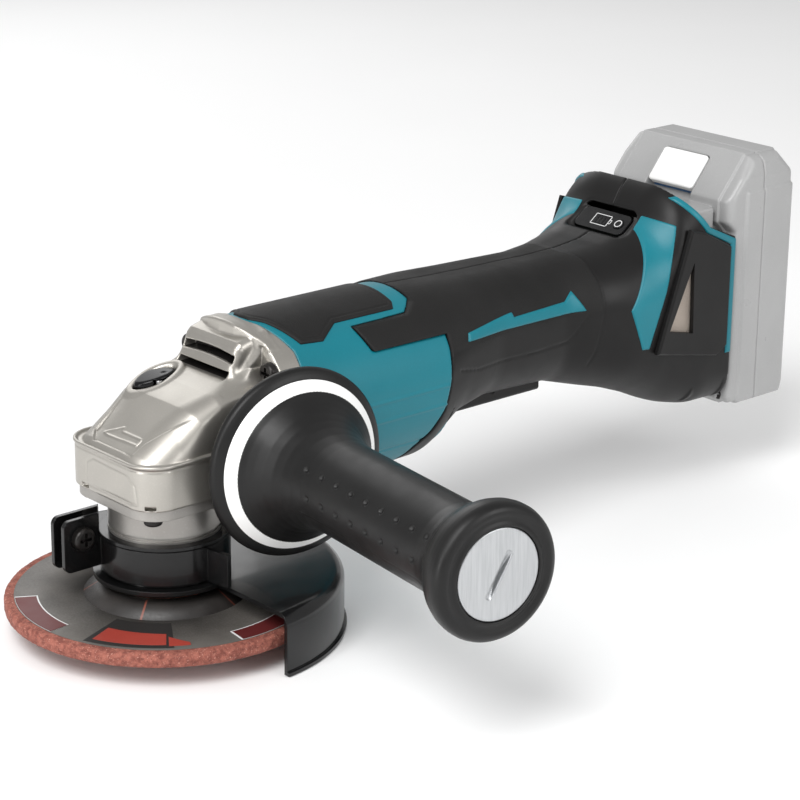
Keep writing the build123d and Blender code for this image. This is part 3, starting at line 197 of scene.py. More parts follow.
MATS = {
    "satin_alloy": finish("cast_alloy_lacquered", (0.43, 0.41, 0.375), 0.36, metallic=0.85, coat=0.1,
                          coat_rough=0.25, strength=0.25, vary=0.05),
    "alloy_plate": finish("cast_alloy_plate", (0.36, 0.345, 0.325), 0.4, metallic=0.8, grain=1100.0,
                          grain_height=0.03, vary=0.06, rough_vary=0.06),
    "black_plastic": finish("moulded_black_plastic", (0.007, 0.0066, 0.0066), 0.4, grain=1900.0,
                            shine=0.22),
    "black_gloss_plastic": finish("polished_black_plastic", (0.005, 0.005, 0.0055), 0.2, grain=700.0,
            grain_height=0.01, strength=0.1, rough_vary=0.08, shine=0.2),
    "soft_grip": finish("textured_soft_grip", (0.009, 0.0086, 0.0084), 0.6, grain=1700.0,
                        grain_height=0.09, strength=0.7, rough_vary=0.06, cells=True, shine=0.25),
    "grip_rubber": finish("side_grip_rubber", (0.007, 0.0068, 0.0068), 0.4, grain=1300.0,
                          grain_height=0.03, strength=0.35, vary=0.15, rough_vary=0.07, shine=0.28),
    "blue_green_plastic": finish("blue_green_plastic", (0.0, 0.155, 0.2), 0.38, grain=1600.0, vary=0.05,
            shine=0.4),
    "steel": finish("turned_steel", (0.56, 0.56, 0.57), 0.25, metallic=1.0, grain=420.0, vary=0.08,
                    rough_vary=0.08, stretch=(1, 1, 9)),
    "blackened_steel": finish("blackened_steel", (0.02, 0.018, 0.017), 0.34, metallic=0.6, grain=900.0,
                              grain_height=0.03, strength=0.35, vary=0.25, rough_vary=0.09),
    "bronzed_steel": finish("bronzed_flange", (0.075, 0.062, 0.055), 0.33, metallic=0.9, grain=500.0,
                            grain_height=0.03, vary=0.2, rough_vary=0.08, stretch=(1, 1, 8)),
    "black_paint": finish("black_enamel", (0.004, 0.004, 0.0042), 0.22, coat=0.2, coat_rough=0.06,
                          grain=240.0, strength=0.2, vary=0.2, edge=0.5, shine=0.3),
    "white_plastic": finish("white_plastic", (0.83, 0.83, 0.82), 0.4, grain=900.0, strength=0.25,
                            vary=0.03),
    "grey_plastic": finish("pale_grey_plastic", (0.33, 0.33, 0.33), 0.33, coat=0.1, coat_rough=0.2,
                           grain=1400.0, vary=0.04, rough_vary=0.06),
    "copper": finish("enamelled_copper", (0.62, 0.24, 0.1), 0.28, metallic=0.9, coat=0.2, grain=300.0,
                     grain_height=0.06, strength=0.6, vary=0.15, rough_vary=0.06, stretch=(14, 1, 1)),
    "lamination": finish("stacked_laminations", (0.22, 0.22, 0.24), 0.42, metallic=0.8, grain=500.0,
                         grain_height=0.05, strength=0.5, vary=0.15, rough_vary=0.08, stretch=(12, 1, 1)),
    "magnet": finish("plated_magnet", (0.5, 0.5, 0.52), 0.2, metallic=1.0, grain=500.0, strength=0.2,
                     vary=0.08, rough_vary=0.06),
    "board": finish("printed_board", (0.02, 0.14, 0.06), 0.35, coat=0.3, grain=420.0, grain_height=0.03,
                    strength=0.4, vary=0.2, rough_vary=0.08, specks=(900.0, 0.6, (0.5, 0.42, 0.15))),
    "cell": finish("cell_sleeve", (0.06, 0.16, 0.34), 0.3, coat=0.3, grain=700.0, strength=0.2, vary=0.1,
                   rough_vary=0.06),
    "lead": finish("lead_insulation", (0.5, 0.06, 0.04), 0.45, grain=900.0, vary=0.1, rough_vary=0.06),
    "brass": finish("brass_contact", (0.72, 0.5, 0.2), 0.25, metallic=1.0, grain=600.0, vary=0.1,
                    rough_vary=0.08),
}


def abrasive_material():
    """Bonded abrasive: coarse red-brown grains with pale and dark specks."""
    mat, tree, shader = new_material("bonded_abrasive")
    vector = object_coords(tree)
    cell = node(tree, "ShaderNodeTexVoronoi", in_Scale=1500.0)
    tree.links.new(vector, cell.inputs["Vector"])
    fine = noise(tree, vector, 1700.0, 3.0)
    color = mix(tree, ramp(tree, noise(tree, vector, 500.0, 4.0), 0.35, 0.65, 0.0, 1.0),
                (0.17, 0.045, 0.032), (0.36, 0.12, 0.085))
    color = mix(tree, ramp(tree, fine, 0.62, 0.68, 0.0, 0.8), color, (0.62, 0.33, 0.26))
    color = mix(tree, ramp(tree, fine, 0.36, 0.3, 0.0, 0.8), color, (0.05, 0.016, 0.012))
    gloss = ramp(tree, fine, 0.3, 0.7, 0.75, 0.95)
    finish_material(tree, shader, color, gloss, cell.outputs["Distance"], 0.9, 0.3, 0)
    return mat


def label_material():
    """The wheel's printed paper face: warm grey, rubbed, with grit showing through."""
    mat, tree, shader = new_material("printed_wheel_face")
    vector = object_coords(tree)
    fine = noise(tree, vector, 1500.0, 3.0)
    color = mix(tree, ramp(tree, noise(tree, vector, 60.0, 5.0), 0.35, 0.65, 0.0, 1.0),
                (0.085, 0.078, 0.07), (0.125, 0.115, 0.104))
    color = mix(tree, ramp(tree, fine, 0.68, 0.74, 0.0, 0.5), color, (0.24, 0.19, 0.16))
    finish_material(tree, shader, color, ramp(tree, fine, 0.3, 0.7, 0.42, 0.62), fine, 0.35, 0.05, 0)
    return mat


HUB_RAYS = 5.0
GAUZE_PITCH = 0.42


def hub_material():
    """The dark depressed centre, with faint reddish rays moulded into it."""
    mat, tree, shader = new_material("pressed_hub")
    vector = object_coords(tree)
    fine = noise(tree, vector, 1300.0, 3.0)
    split = node(tree, "ShaderNodeSeparateXYZ")
    tree.links.new(vector, split.inputs["Vector"])
    turn = node(tree, "ShaderNodeMath", operation="ARCTAN2")
    tree.links.new(split.outputs["Y"], turn.inputs[0])
    tree.links.new(split.outputs["X"], turn.inputs[1])
    wave = node(tree, "ShaderNodeMath", operation="MULTIPLY")
    tree.links.new(turn.outputs[0], wave.inputs[0])
    wave.inputs[1].default_value = HUB_RAYS
    cosine = node(tree, "ShaderNodeMath", operation="COSINE")
    tree.links.new(wave.outputs[0], cosine.inputs[0])
    ray = ramp(tree, cosine.outputs[0], 0.9955, 0.9995, 0.0, 0.85)
    color = mix(tree, ramp(tree, noise(tree, vector, 90.0, 4.0), 0.3, 0.7, 0.0, 1.0),
                (0.018, 0.016, 0.015), (0.034, 0.03, 0.028))
    color = mix(tree, ray, color, (0.24, 0.07, 0.045))
    finish_material(tree, shader, color, ramp(tree, fine, 0.3, 0.7, 0.35, 0.55), fine, 0.3, 0.04, 0)
    return mat


def mesh_material():
    """Fine woven steel gauze."""
    mat, tree, shader = new_material("woven_gauze")
    shader.inputs["Metallic"].default_value = 0.85
    vector = object_coords(tree)
    split = node(tree, "ShaderNodeSeparateXYZ")
    tree.links.new(vector, split.inputs["Vector"])
    parts = []
    for axis in ("X", "Z"):
        times = node(tree, "ShaderNodeMath", operation="MULTIPLY")
        times.inputs[1].default_value = 2 * math.pi / (GAUZE_PITCH * MM)
        tree.links.new(split.outputs[axis], times.inputs[0])
        sine = node(tree, "ShaderNodeMath", operation="SINE")
        tree.links.new(times.outputs[0], sine.inputs[0])
        parts.append(sine.outputs[0])
    weave = node(tree, "ShaderNodeMath", operation="MULTIPLY")
    tree.links.new(parts[0], weave.inputs[0])
    tree.links.new(parts[1], weave.inputs[1])
    color = mix(tree, ramp(tree, weave.outputs[0], -1.0, 1.0, 0.0, 1.0), (0.3, 0.25, 0.21), (0.68, 0.6, 0.53))
    gloss = ramp(tree, noise(tree, vector, 200.0), 0.3, 0.7, 0.32, 0.5)
    finish_material(tree, shader, color, gloss, weave.outputs[0], 0.6, 0.08, 0)
    return mat


def brushed_cap_material():
    """Silver cap, brushed along one line."""
    mat, tree, shader = new_material("brushed_silver_cap")
    shader.inputs["Metallic"].default_value = 0.9
    vector = object_coords(tree, (1500.0, 1500.0, 60.0), (0.0, 0.5, 0.0))
    lines = noise(tree, vector, 1.0, 3.0)
    color = mix(tree, ramp(tree, lines, 0.3, 0.7, 0.0, 1.0), (0.42, 0.43, 0.44), (0.52, 0.53, 0.54))
    finish_material(tree, shader, color, ramp(tree, lines, 0.3, 0.7, 0.3, 0.45), lines, 0.25, 0.02, 0.3)
    return mat


MATS["abrasive"] = abrasive_material()
MATS["label"] = label_material()
MATS["hub"] = hub_material()
MATS["mesh_steel"] = mesh_material()
MATS["silver_plastic"] = brushed_cap_material()
MATS["print_red"] = finish("printed_red", (0.36, 0.045, 0.03), 0.5, grain_height=0.03, vary=0.15,
                           rough_vary=0.06)
MATS["print_dark_red"] = finish("printed_dark_red", (0.1, 0.012, 0.012), 0.5, grain_height=0.03,
        rough_vary=0.06)
MATS["print_white"] = finish("printed_white", (0.74, 0.74, 0.74), 0.45, strength=0.2, vary=0.04)
MATS["print_black"] = finish("printed_black", (0.022, 0.02, 0.019), 0.5, strength=0.2, vary=0.1)

# ---------------------------------------------------------------- the CAD nodes that stay
STAY = {
    "alloy_plate": ["bearing_box"],
    "blackened_steel": ["bearing_box_screws", "gear_housing_screws", "housing_screws", "lock_nut",
                        "clamp_screw", "battery_case_screws"],
    "bronzed_steel": ["inner_flange"],
    "steel": ["spindle", "bevel_gear", "pinion", "rotor_shaft", "needle_bearing", "spindle_ball_bearing",
              "bearing_retainer", "rotor_bearing_front", "rotor_bearing_rear", "shaft_lock_pin",
              "shaft_lock_spring", "paddle_pin", "paddle_spring", "side_handle_bolt"],
    "black_plastic": ["baffle_ring", "cooling_fan", "switch_unit", "paddle_lever", "lock_off_lever",
                      "dust_cover_left", "dust_cover_right", "terminal_block"],
    "black_gloss_plastic": ["indicator_panel", "indicator_button"],
    "lamination": ["stator_core", "rotor_core"],
    "copper": ["stator_windings"],
    "magnet": ["rotor_magnets"],
    "board": ["controller", "battery_board"],
    "lead": ["motor_leads"],
    "mesh_steel": ["dust_mesh_left", "dust_mesh_right"],
    "black_paint": ["wheel_guard", "clamp_band"],
    "cell": ["battery_cells"],
    "brass": ["battery_terminals"],
    "white_plastic": ["battery_latch"],
    "silver_plastic": ["side_handle_cap"],
}
for material_name, names in STAY.items():
    for name in names:
        mesh = frame["nodes"][name].data
        mesh.materials.clear()
        mesh.materials.append(MATS[material_name])


# ---------------------------------------------------------------- mesh helpers
def add_piece(name, points, faces, material, body, slot, smooth=True):
    """Makes a mesh piece from points in millimetres and lets it ride on a body."""
    mesh = bpy.data.meshes.new(name)
    metres = [tuple(p) for p in np.asarray(points, float) * MM]
    mesh.from_pydata(metres, [], [tuple(int(i) for i in f) for f in faces])
    mesh.validate()
    mesh.polygons.foreach_set("use_smooth", [smooth] * len(mesh.polygons))
    mesh.materials.append(MATS[material])
    piece = bpy.data.objects.new(name, mesh)
    bpy.context.scene.collection.objects.link(piece)
    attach(piece, body)
    return piece


class Field:
    """A box of sample points, in millimetres, for distance fields."""

    def __init__(self, lo, hi, step):
        self.lo = np.array(lo, float)
        self.step = step
        counts = np.ceil((np.array(hi, float) - self.lo) / step).astype(int) + 1
        axes = [self.lo[i] + step * np.arange(counts[i]) for i in range(3)]
        self.x, self.y, self.z = np.meshgrid(*axes, indexing="ij", sparse=True)
        self.shape = tuple(counts)

    def surface(self, distance):
        """Points and faces where the distance is zero, facing outwards."""
        band = 3.0 * self.step
        values = np.clip(np.broadcast_to(distance, self.shape), -band, band).astype(np.float32)
        grid = vdb.FloatGrid(background=band)
        grid.copyFromArray(np.ascontiguousarray(values))
        points, quads = grid.convertToQuads(isovalue=0.0)
        points = self.lo + points * self.step
        a, b, c = (points[quads[:, i]] for i in (0, 1, 2))
        volume = np.einsum("ij,ij->i", a, np.cross(b, c)).sum()
        if volume < 0:
            quads = quads[:, ::-1]
        return points, quads


def smin(a, b, k):
    """Joins two distances with a fillet about k wide."""
    h = np.maximum(k - np.abs(a - b), 0.0) / k
    return np.minimum(a, b) - h * h * k * 0.25


def smax(a, b, k):
    """Cuts one distance by another, with the edge rounded."""
    return -smin(-a, -b, k)


def polygon(u, v, corners):
    """Signed distance to a closed outline, negative inside."""
    best = None
    sign = 1.0
    count = len(corners)
    for i in range(count):
        (ax, ay), (bx, by) = corners[i], corners[i - 1]
        ex, ey = bx - ax, by - ay
        wx, wy = u - ax, v - ay
        t = np.clip((wx * ex + wy * ey) / (ex * ex + ey * ey), 0.0, 1.0)
        d = (wx - ex * t) ** 2 + (wy - ey * t) ** 2
        best = d if best is None else np.minimum(best, d)
        above, below, left = v >= ay, v < by, ex * wy > ey * wx
        flip = (above & below & left) | (~above & ~below & ~left)
        sign = sign * np.where(flip, -1.0, 1.0)
    return sign * np.sqrt(best)


def polyline(u, v, points):
    """Distance to an open line through points."""
    best = None
    for (ax, ay), (bx, by) in zip(points[:-1], points[1:]):
        ex, ey = bx - ax, by - ay
        wx, wy = u - ax, v - ay
        t = np.clip((wx * ex + wy * ey) / (ex * ex + ey * ey), 0.0, 1.0)
        d = np.hypot(wx - ex * t, wy - ey * t)
        best = d if best is None else np.minimum(best, d)
    return best


def rounded_box(u, v, half_u, half_v, r):
    """Distance to a rectangle with rounded corners."""
    qu, qv = np.abs(u) - (half_u - r), np.abs(v) - (half_v - r)
    return np.hypot(np.maximum(qu, 0), np.maximum(qv, 0)) + np.minimum(np.maximum(qu, qv), 0) - r


def between(w, a, b):
    """Distance to the slab from a to b."""
    return np.maximum(a - w, w - b)


def near(line, width):
    """1 on a line, falling to 0 at a width from it."""
    return np.clip(1.0 - line / width, 0.0, 1.0)


def groove(distance, line, width, depth):
    """Presses a soft-sided groove into a surface along a line."""
    return distance + depth * near(line, width) ** 0.8


def lathe(profile, turns):
    """Points and faces of a closed profile of (radius, height) turned about +Z."""
    points, faces = [], []
    count = len(profile)
    for k in range(turns):
        a = 2 * math.pi * k / turns
        points += [(r * math.cos(a), r * math.sin(a), h) for r, h in profile]
    for k in range(turns):
        n = (k + 1) % turns
        for i in range(count):
            j = (i + 1) % count
            faces.append((k * count + i, n * count + i, n * count + j, k * count + j))
    return np.array(points), faces


# ---------------------------------------------------------------- shared outlines
def motor_radius(f):
    """Distance from the motor's axis."""
    return np.hypot(f.y, f.z - MOTOR_Z)


def side_angle(f):
    """Angle round the motor, in degrees: 0 at the sides, 90 at the top."""
    return np.degrees(np.arctan2(f.z - MOTOR_Z, np.abs(f.y) + 1e-6))


def joint_line(angle):
    """Where the alloy head meets the motor housing, which bows forward over the top."""
    return np.interp(angle, (20.0, 34.0, 48.0, 67.0, 85.0), (JOINT_X, 43.6, 44.3, 40.6, 36.0))


MOTOR_OUTLINE = [(117.5, 92.2), (79.5, 92.2), (76.0, 100.8), (104.0, 101.0), (110.8, 104.2), (110.4, 115.0),
                 (0.0, 115.0), (0.0, 30.0), (96.0, 30.0), (99.5, 37.0), (102.9, 47.5), (107.8, 53.3),
                 (112.6, 62.5), (115.6, 74.8), (117.3, 86.4)]

# Cross-sections of the handle: x, width, lowest z, highest z, corner radius
BODY_SECTIONS = np.array([
    (74.0, 73.8, 34.1, 107.9, 36.0), (112.0, 73.2, 36.0, 107.6, 34.0), (130.0, 66.0, 50.0, 106.8, 26.0),
    (150.0, 58.0, 54.0, 106.2, 22.0), (190.0, 55.0, 52.0, 105.6, 22.0), (208.0, 64.0, 47.0, 106.0, 24.0),
    (222.0, 73.0, 43.5, 107.5, 26.0), (236.0, 76.0, 38.5, 112.5, 26.0), (241.5, 76.0, 36.0, 117.5, 26.0),
    (247.0, 76.0, 33.5, 127.5, 25.0), (254.0, 76.0, 31.0, 131.5, 23.0), (264.0, 76.0, 29.5, 132.5, 18.0),
    (280.0, 76.0, 30.0, 129.0, 16.0),
])


SECTION_BLEND = 3.0


def body(f, grow=0.0):
    """Distance to the outside of the two handle shells together."""
    xs = f.x.ravel()
    soft = max(1, int(SECTION_BLEND / f.step))
    window = np.ones(2 * soft + 1) / (2 * soft + 1)
    columns = []
    for i in range(1, 5):
        plain = np.interp(xs, BODY_SECTIONS[:, 0], BODY_SECTIONS[:, i])
        padded = np.pad(plain, soft, mode="edge")
        columns.append(np.convolve(padded, window, "valid").reshape(-1, 1, 1).astype(np.float32))
    width, low, high, corner = columns
    return rounded_box(f.y, f.z - (low + high) / 2, width / 2 + grow, (high - low) / 2 + grow,
                       np.maximum(corner + grow, 1.0))


def handle_coords(f, side):
    """Distance out along a side handle's axis, and distance from that axis."""
    ox, _, oz = HANDLE_ORIGIN
    dx, dy = f.x - ox, f.y * side
    along = -math.sin(HANDLE_YAW) * dx + math.cos(HANDLE_YAW) * dy
    across = math.cos(HANDLE_YAW) * dx + math.sin(HANDLE_YAW) * dy
    return along, np.hypot(across, f.z - oz)


# ---------------------------------------------------------------- gear housing
BUTTON_XY = (6.2, 13.2)
BUTTON_TURN = math.radians(-12.0)
BOX_BOTTOM, BOX_TOP = 49.05, 66.2
BOX_CORNER_R = 12.0
# outlines in X and Z: the sloping top, and the hood behind it
SLOPE = [(-27.3, 66.2), (-24.2, 69.4), (-2.6, 83.3), (8.0, 87.2), (20.0, 90.0), (34.0, 95.0), (34.0, 55.0),
         (-27.3, 55.0)]
HOOD = [(8.0, 84.0), (17.0, 88.8), (18.2, 90.0), (21.0, 96.0), (23.2, 101.2), (25.0, 103.0), (29.0, 104.2),
        (38.0, 105.0), (38.0, 80.0), (8.0, 80.0)]
# outlines in X and Y: the ridge behind the hood, the raised flat on the slope, and its arrow
CREST = [(33.4, 22.6), (33.2, 20.0), (30.4, 16.0), (27.9, 8.0), (27.2, 0.0)]
FACET = [(-24.4, 10.8), (-24.4, -12.8), (-18.7, -13.6), (-11.3, -17.2), (-2.7, -22.0), (5.0, -24.0),
         (14.0, -17.0), (14.0, 17.0), (-3.2, 17.6), (-13.4, 16.2), (-20.4, 15.4)]
ARROW = [(-20.2, 9.8), (-16.2, 2.4), (-17.7, 1.4), (-17.7, -10.6), (-20.2, -10.6), (-20.7, 6.8)]
FRONT_PANEL = [(11.6, 51.5), (11.6, 60.4), (7.4, 63.0), (-14.0, 62.4), (-18.6, 58.5), (-19.4, 51.5)]
EXHAUST = ((91.2, 1.35), (97.7, 1.5))       # height and half height of each exhaust slot
EXHAUST_X = (12.0, 27.5)
NOTCHES = ((-23.2, -23.2), (-27.6, 13.0))
NOTCH_Z = 50.4
SCREW_POCKETS = ((89.4, 21.0), (47.4, 15.0))    # lowest z and length of the pockets at the rear screws
POCKET_BACK_X = 33.0
BOSS_R, BOSS_START, BOSS_END = 10.5, 8.0, 33.0  # side handle bosses, along the handle's axis
BOLT_HOLE_R = 4.1


def button_shape(f):
    """Outline of the shaft lock button: an oval drawn to a point at its front."""
    dx, dy = f.x - BUTTON_XY[0], f.y - BUTTON_XY[1]
    u = math.cos(BUTTON_TURN) * dx + math.sin(BUTTON_TURN) * dy
    v = -math.sin(BUTTON_TURN) * dx + math.cos(BUTTON_TURN) * dy
    nose = np.hypot(u, np.abs(v) + 5.6) - 10.8
    return smax(nose, np.abs(u) - 8.8, 1.2)


def head_form(f):
    """The outside of the gear housing before anything is cut into it."""
    x, y, z = f.x, f.y, f.z
    wall = rounded_box(x - 3.0, y, HEAD_HALF + 3.0, HEAD_HALF, BOX_CORNER_R)
    box = smax(wall, between(z, BOX_BOTTOM, BOX_TOP), 0.7)
    softness = np.interp(x, (-25.0, -10.0, 8.0), (19.0, 17.0, 11.0))
    slope = polygon(x, z, SLOPE)
    inside = np.clip(0.5 - polygon(x, y, FACET) / 0.8, 0.0, 1.0)
    facet = inside * np.clip((-1.0 - x) / 18.0, 0.0, 1.0)
    top = smax(slope, np.abs(y) - (HEAD_HALF - 0.3), softness) + 0.85 * facet
    top = top - 0.4 * near(np.abs(polygon(x, y, ARROW)), 0.48)
    top = smax(top, wall + 0.35, 2.5)
    bead = np.hypot(wall + 0.15, z - 66.5) - 0.75
    form = smin(smin(box, top, 0.6), bead, 0.5)
    form = groove(form, np.abs(z - 64.9), 0.5, 0.3)
    panel = np.abs(polygon(y, z, FRONT_PANEL))
    form = np.where(x < -15.0, groove(form, panel, 0.55, 0.3), form)
    form = add_neck(f, form)
    return smax(form, x - joint_line(side_angle(f)), 0.5)


def add_neck(f, form):
    """Joins on the cone to the motor housing, the hood, the ridge and the side handle bosses."""
    x, y, z = f.x, f.y, f.z
    radius = motor_radius(f)
    cone = 0.78 * (radius - np.interp(x, (24.0, 27.5, 34.0, 60.0), (22.0, 28.0, 36.5, 36.5)))
    cone = smax(cone, 24.0 - x, 3.0)
    form = smin(form, cone, 6.0)
    hood = smax(polygon(x, z, HOOD), np.abs(y) - 16.8, 3.5)
    form = smin(form, hood, 3.0)
    crest = polygon(x, np.abs(y), [*CREST, (27.2, -30.0), (39.0, -30.0), (39.0, 22.6)])
    rise = np.interp(x, (27.0, 33.0, 37.0), (37.9, 37.5, 36.5))
    form = smin(form, smax(smax(radius - rise, crest, 1.2), 60.0 - z, 1.0), 0.6)
    for side in (-1, 1):
        along, off = handle_coords(f, side)
        form = smin(form, smax(off - BOSS_R, between(along, BOSS_START, BOSS_END), 1.0), 3.0)
    return form


def cut_slots(f, form):
    """Cuts the exhaust slots, of which the upper one is bowed, and the pockets of the rear screws."""
    x, y, z = f.x, f.y, f.z
    for centre, half in EXHAUST:
        bow = 0.9 * (y / 15.5) ** 2 if centre > 95 else 0.0
        slot = rounded_box(y, z - centre + bow, 15.2, half, 0.6)
        form = smax(form, -np.maximum(slot, between(x, *EXHAUST_X)), 0.7)
    for low, reach in SCREW_POCKETS:
        tail = [(19.0, low + 11.2), (18.4, low + 4.0), (24.0, low - 1.5), (29.0, low + 5.0)]
        tear = smin(np.hypot(np.abs(y) - 24.5, z - low - 2.6) - 5.2, polygon(np.abs(y), z, tail), 2.0)
        form = smax(form, -np.maximum(tear, between(x, POCKET_BACK_X - reach, POCKET_BACK_X)), 1.6)
    return form


def cut_button_well(f, form):
    """Raises a lip round the shaft lock button and sinks its well and a finger scoop."""
    x, y, z = f.x, f.y, f.z
    button = button_shape(f)
    lip = smax(np.abs(button - 1.9) - 1.2, np.maximum(z - (84.1 + 0.41 * x), 80.0 - z), 1.2)
    form = smin(form, lip, 1.5)
    well = np.maximum(button - 0.3, 79.0 - z)
    scoop = np.hypot(np.hypot(x - 1.0, y - 14.0), z - 97.5) - 12.6
    form = smax(form, -scoop, 2.0)
    return smax(form, -well, 0.8)


def cut_bores(f, form):
    """Cuts the notches under the box and all the bores: spindle, motor, shaft lock, screws, handle."""
    x, y, z = f.x, f.y, f.z
    for nx, ny in NOTCHES:
        notch = np.maximum(np.hypot(x - nx, y - ny) - 2.2, np.abs(z - NOTCH_Z) - 0.75)
        form = np.maximum(form, -notch)
    bore = motor_radius(f)
    axis = np.hypot(x, y)
    hollows = [
        (axis - 20.0, z - 69.5), (axis - 10.5, z - 72.0), (axis - 6.5, z - 77.5), (axis - 4.4, z - 80.3),
        (bore - 7.0, -x), (bore - 11.0, 30.0 - x), (bore - 33.5, 38.0 - x),
        (np.hypot(x - LOCK_PIN_XY[0], y - LOCK_PIN_XY[1]) - 1.6, 60.0 - z),
    ]
    for round_part, end in hollows:
        form = np.maximum(form, -np.maximum(round_part, end))
    for sx in (-BOX_SCREW_XY, BOX_SCREW_XY):
        for sy in (-BOX_SCREW_XY, BOX_SCREW_XY):
            form = np.maximum(form, -np.maximum(np.hypot(x - sx, y - sy) - 2.0, z - 61.0))
    for side in (-1, 1):
        along, off = handle_coords(f, side)
        form = np.maximum(form, -np.maximum(off - 12.0, BOSS_END - along))
        form = np.maximum(form, -np.maximum(off - BOLT_HOLE_R, 20.0 - along))
    return form


def gear_housing_piece():
    f = Field((-29.0, -38.0, 33.8), (45.8, 38.0, 109.6), FINE)
    form = cut_slots(f, head_form(f))
    form = cut_bores(f, cut_button_well(f, form))
    points, quads = f.surface(form)
    piece = add_piece("gear_housing_casting", points, quads, "satin_alloy", "tool_body", "satin_alloy")
    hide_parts("gear_housing")
    # painted shade: the faces deep inside the exhaust slots, behind the hood's face, get the dark blackened
    # steel finish to stand for the shade that falls in the slots
    piece.data.materials.append(MATS["blackened_steel"])
    x, y, z = points[quads].mean(axis=1).T
    hood_face = np.interp(z, (89.7, 98.9), (19.4, 23.6))
    slot_shade_faces = (np.abs(y) < 14.9) & (z > 88.0) & (z < 101.0) & (x < 30.5) & (x > hood_face)
    piece.data.polygons.foreach_set("material_index", slot_shade_faces.astype(np.int32))


def shaft_lock_button_piece():
    f = Field((-5.0, 5.0, 82.5), (17.5, 22.0, 91.5), FINE * 0.6)
    lean = f.z - (87.9 + 0.2 * (f.x - BUTTON_XY[0])) + 0.012 * (f.x - BUTTON_XY[0]) ** 2
    shape = smax(smax(button_shape(f), lean, 1.4), 83.5 - f.z, 0.5)
    dimple = np.hypot(np.hypot(f.x - 8.5, f.y - 10.8), f.z - 90.2) - 2.2
    shape = smax(shape, -dimple, 0.5)
    # a pocket for the pin and the top of its spring, deep enough for the button's travel
    pocket = np.maximum(np.hypot(f.x - LOCK_PIN_XY[0], f.y - LOCK_PIN_XY[1]) - 2.7, f.z - 86.8)
    points, quads = f.surface(np.maximum(shape, -pocket))
    piece = add_piece("shaft_lock_cap", points, quads, "black_gloss_plastic", "shaft_lock", "black_plastic")
    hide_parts("shaft_lock_button")


# ---------------------------------------------------------------- motor housing and its soft patch
PATCH = [(36.9, 0.0), (37.6, 4.5), (41.8, 9.4), (48.8, 24.6), (59.4, 25.6), (69.7, 18.7), (100.0, 18.7),
         (102.2, 15.0), (102.2, 0.0)]


FAN_RING_R, FAN_HOLES = 21.5, 8


def motor_housing_piece():
    """The blue-green barrel, with two ribs, a seam, and a bulkhead with round openings behind it."""
    f = Field((33.0, -38.0, 33.0), (121.0, 38.0, 109.0), COARSE)
    x, y, z = f.x, f.y, f.z
    radius, angle = motor_radius(f), side_angle(f)
    outline = np.maximum(polygon(x, z, MOTOR_OUTLINE), joint_line(angle) + 0.08 - x)
    skin = smax(radius - HOUSING_R, outline, 0.9)
    for level, start in ((73.0, 66.6), (65.0, 73.0)):
        line = np.maximum(np.abs(z - level) - 0.1, between(x, start, 114.0))
        skin = skin - 0.4 * near(line, 0.7)
    skin = groove(skin, np.maximum(np.abs(z - 50.5) - 0.1, between(x, 76.0, 106.0)), 0.6, 0.35)
    lining = np.maximum(radius - 33.5, between(x, 84.0, 120.0))
    form = np.minimum(skin, lining)
    form = np.maximum(form, -np.maximum(radius - 33.0, x - 86.0))
    form = np.maximum(form, -np.maximum(radius - 31.0, between(x, 80.0, 112.0)))
    form = np.maximum(form, -np.maximum(radius - 31.0, 114.6 - x))
    for k in range(FAN_HOLES):
        a = 2 * math.pi * k / FAN_HOLES
        hole = np.hypot(y - FAN_RING_R * math.cos(a), z - MOTOR_Z - FAN_RING_R * math.sin(a)) - 6.0
        form = np.maximum(form, -np.maximum(hole, 110.0 - x))
    bearing_seat = np.maximum(between(radius, 9.6, 13.0), between(x, 104.0, 112.5))
    points, quads = f.surface(np.minimum(form, bearing_seat))
    plastic = "blue_green_plastic"
    piece = add_piece("motor_housing_shell", points, quads, plastic, "tool_body", plastic)
    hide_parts("motor_housing")


def soft_patch_piece():
    """The textured patch over the top of the motor housing, with a line round its rim."""
    f = Field((35.0, -30.0, 88.0), (104.0, 30.0, 110.0), COARSE * 0.8)
    radius = motor_radius(f)
    arc = HOUSING_R * np.radians(90.0 - side_angle(f))
    outline = polygon(f.x, arc, [*PATCH, (102.2, -9.0), (36.9, -9.0)])
    rim = np.abs(outline + 2.4)
    form = smax(radius - (HOUSING_R + 0.95), outline, 1.3)
    form = groove(form, rim, 0.6, 0.3)
    form = smax(form, (HOUSING_R - 1.2) - radius, 0.4)
    points, quads = f.surface(form)
    piece = add_piece("soft_patch", points, quads, "soft_grip", "tool_body", "soft_grip")
    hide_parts("front_overmould")


# ---------------------------------------------------------------- handle and battery housing shells
SHELL_WALL = 2.8
NECK_LINE_X = 207.0     # a shallow line round the rear of the grip
PADDLE_OPENING = [(132.0, 40.0), (188.0, 40.0), (188.0, 67.0), (132.0, 62.0)]
TOP_CUT = [(247.0, 140.0), (251.5, 127.5), (262.5, 113.5), (282.0, 105.4), (282.0, 140.0)]
MESH_WINDOW = [(251.2, 100.2), (252.2, 68.3), (237.5, 71.7)]
# x, z and half length of each screw post
HOUSING_SCREWS = [(126.0, 100.0, 17.0), (196.0, 99.0, 14.0), (196.0, 63.0, 22.0), (228.0, 50.0, 24.0),
                  (252.0, 40.0, 26.0)]
LOWER_SEAM = [(122.0, 77.0), (133.6, 74.5), (170.3, 73.4), (188.9, 74.0), (192.4, 76.4), (199.0, 84.0)]
PANEL_AT = np.array([236.6, 0.0, 112.6])


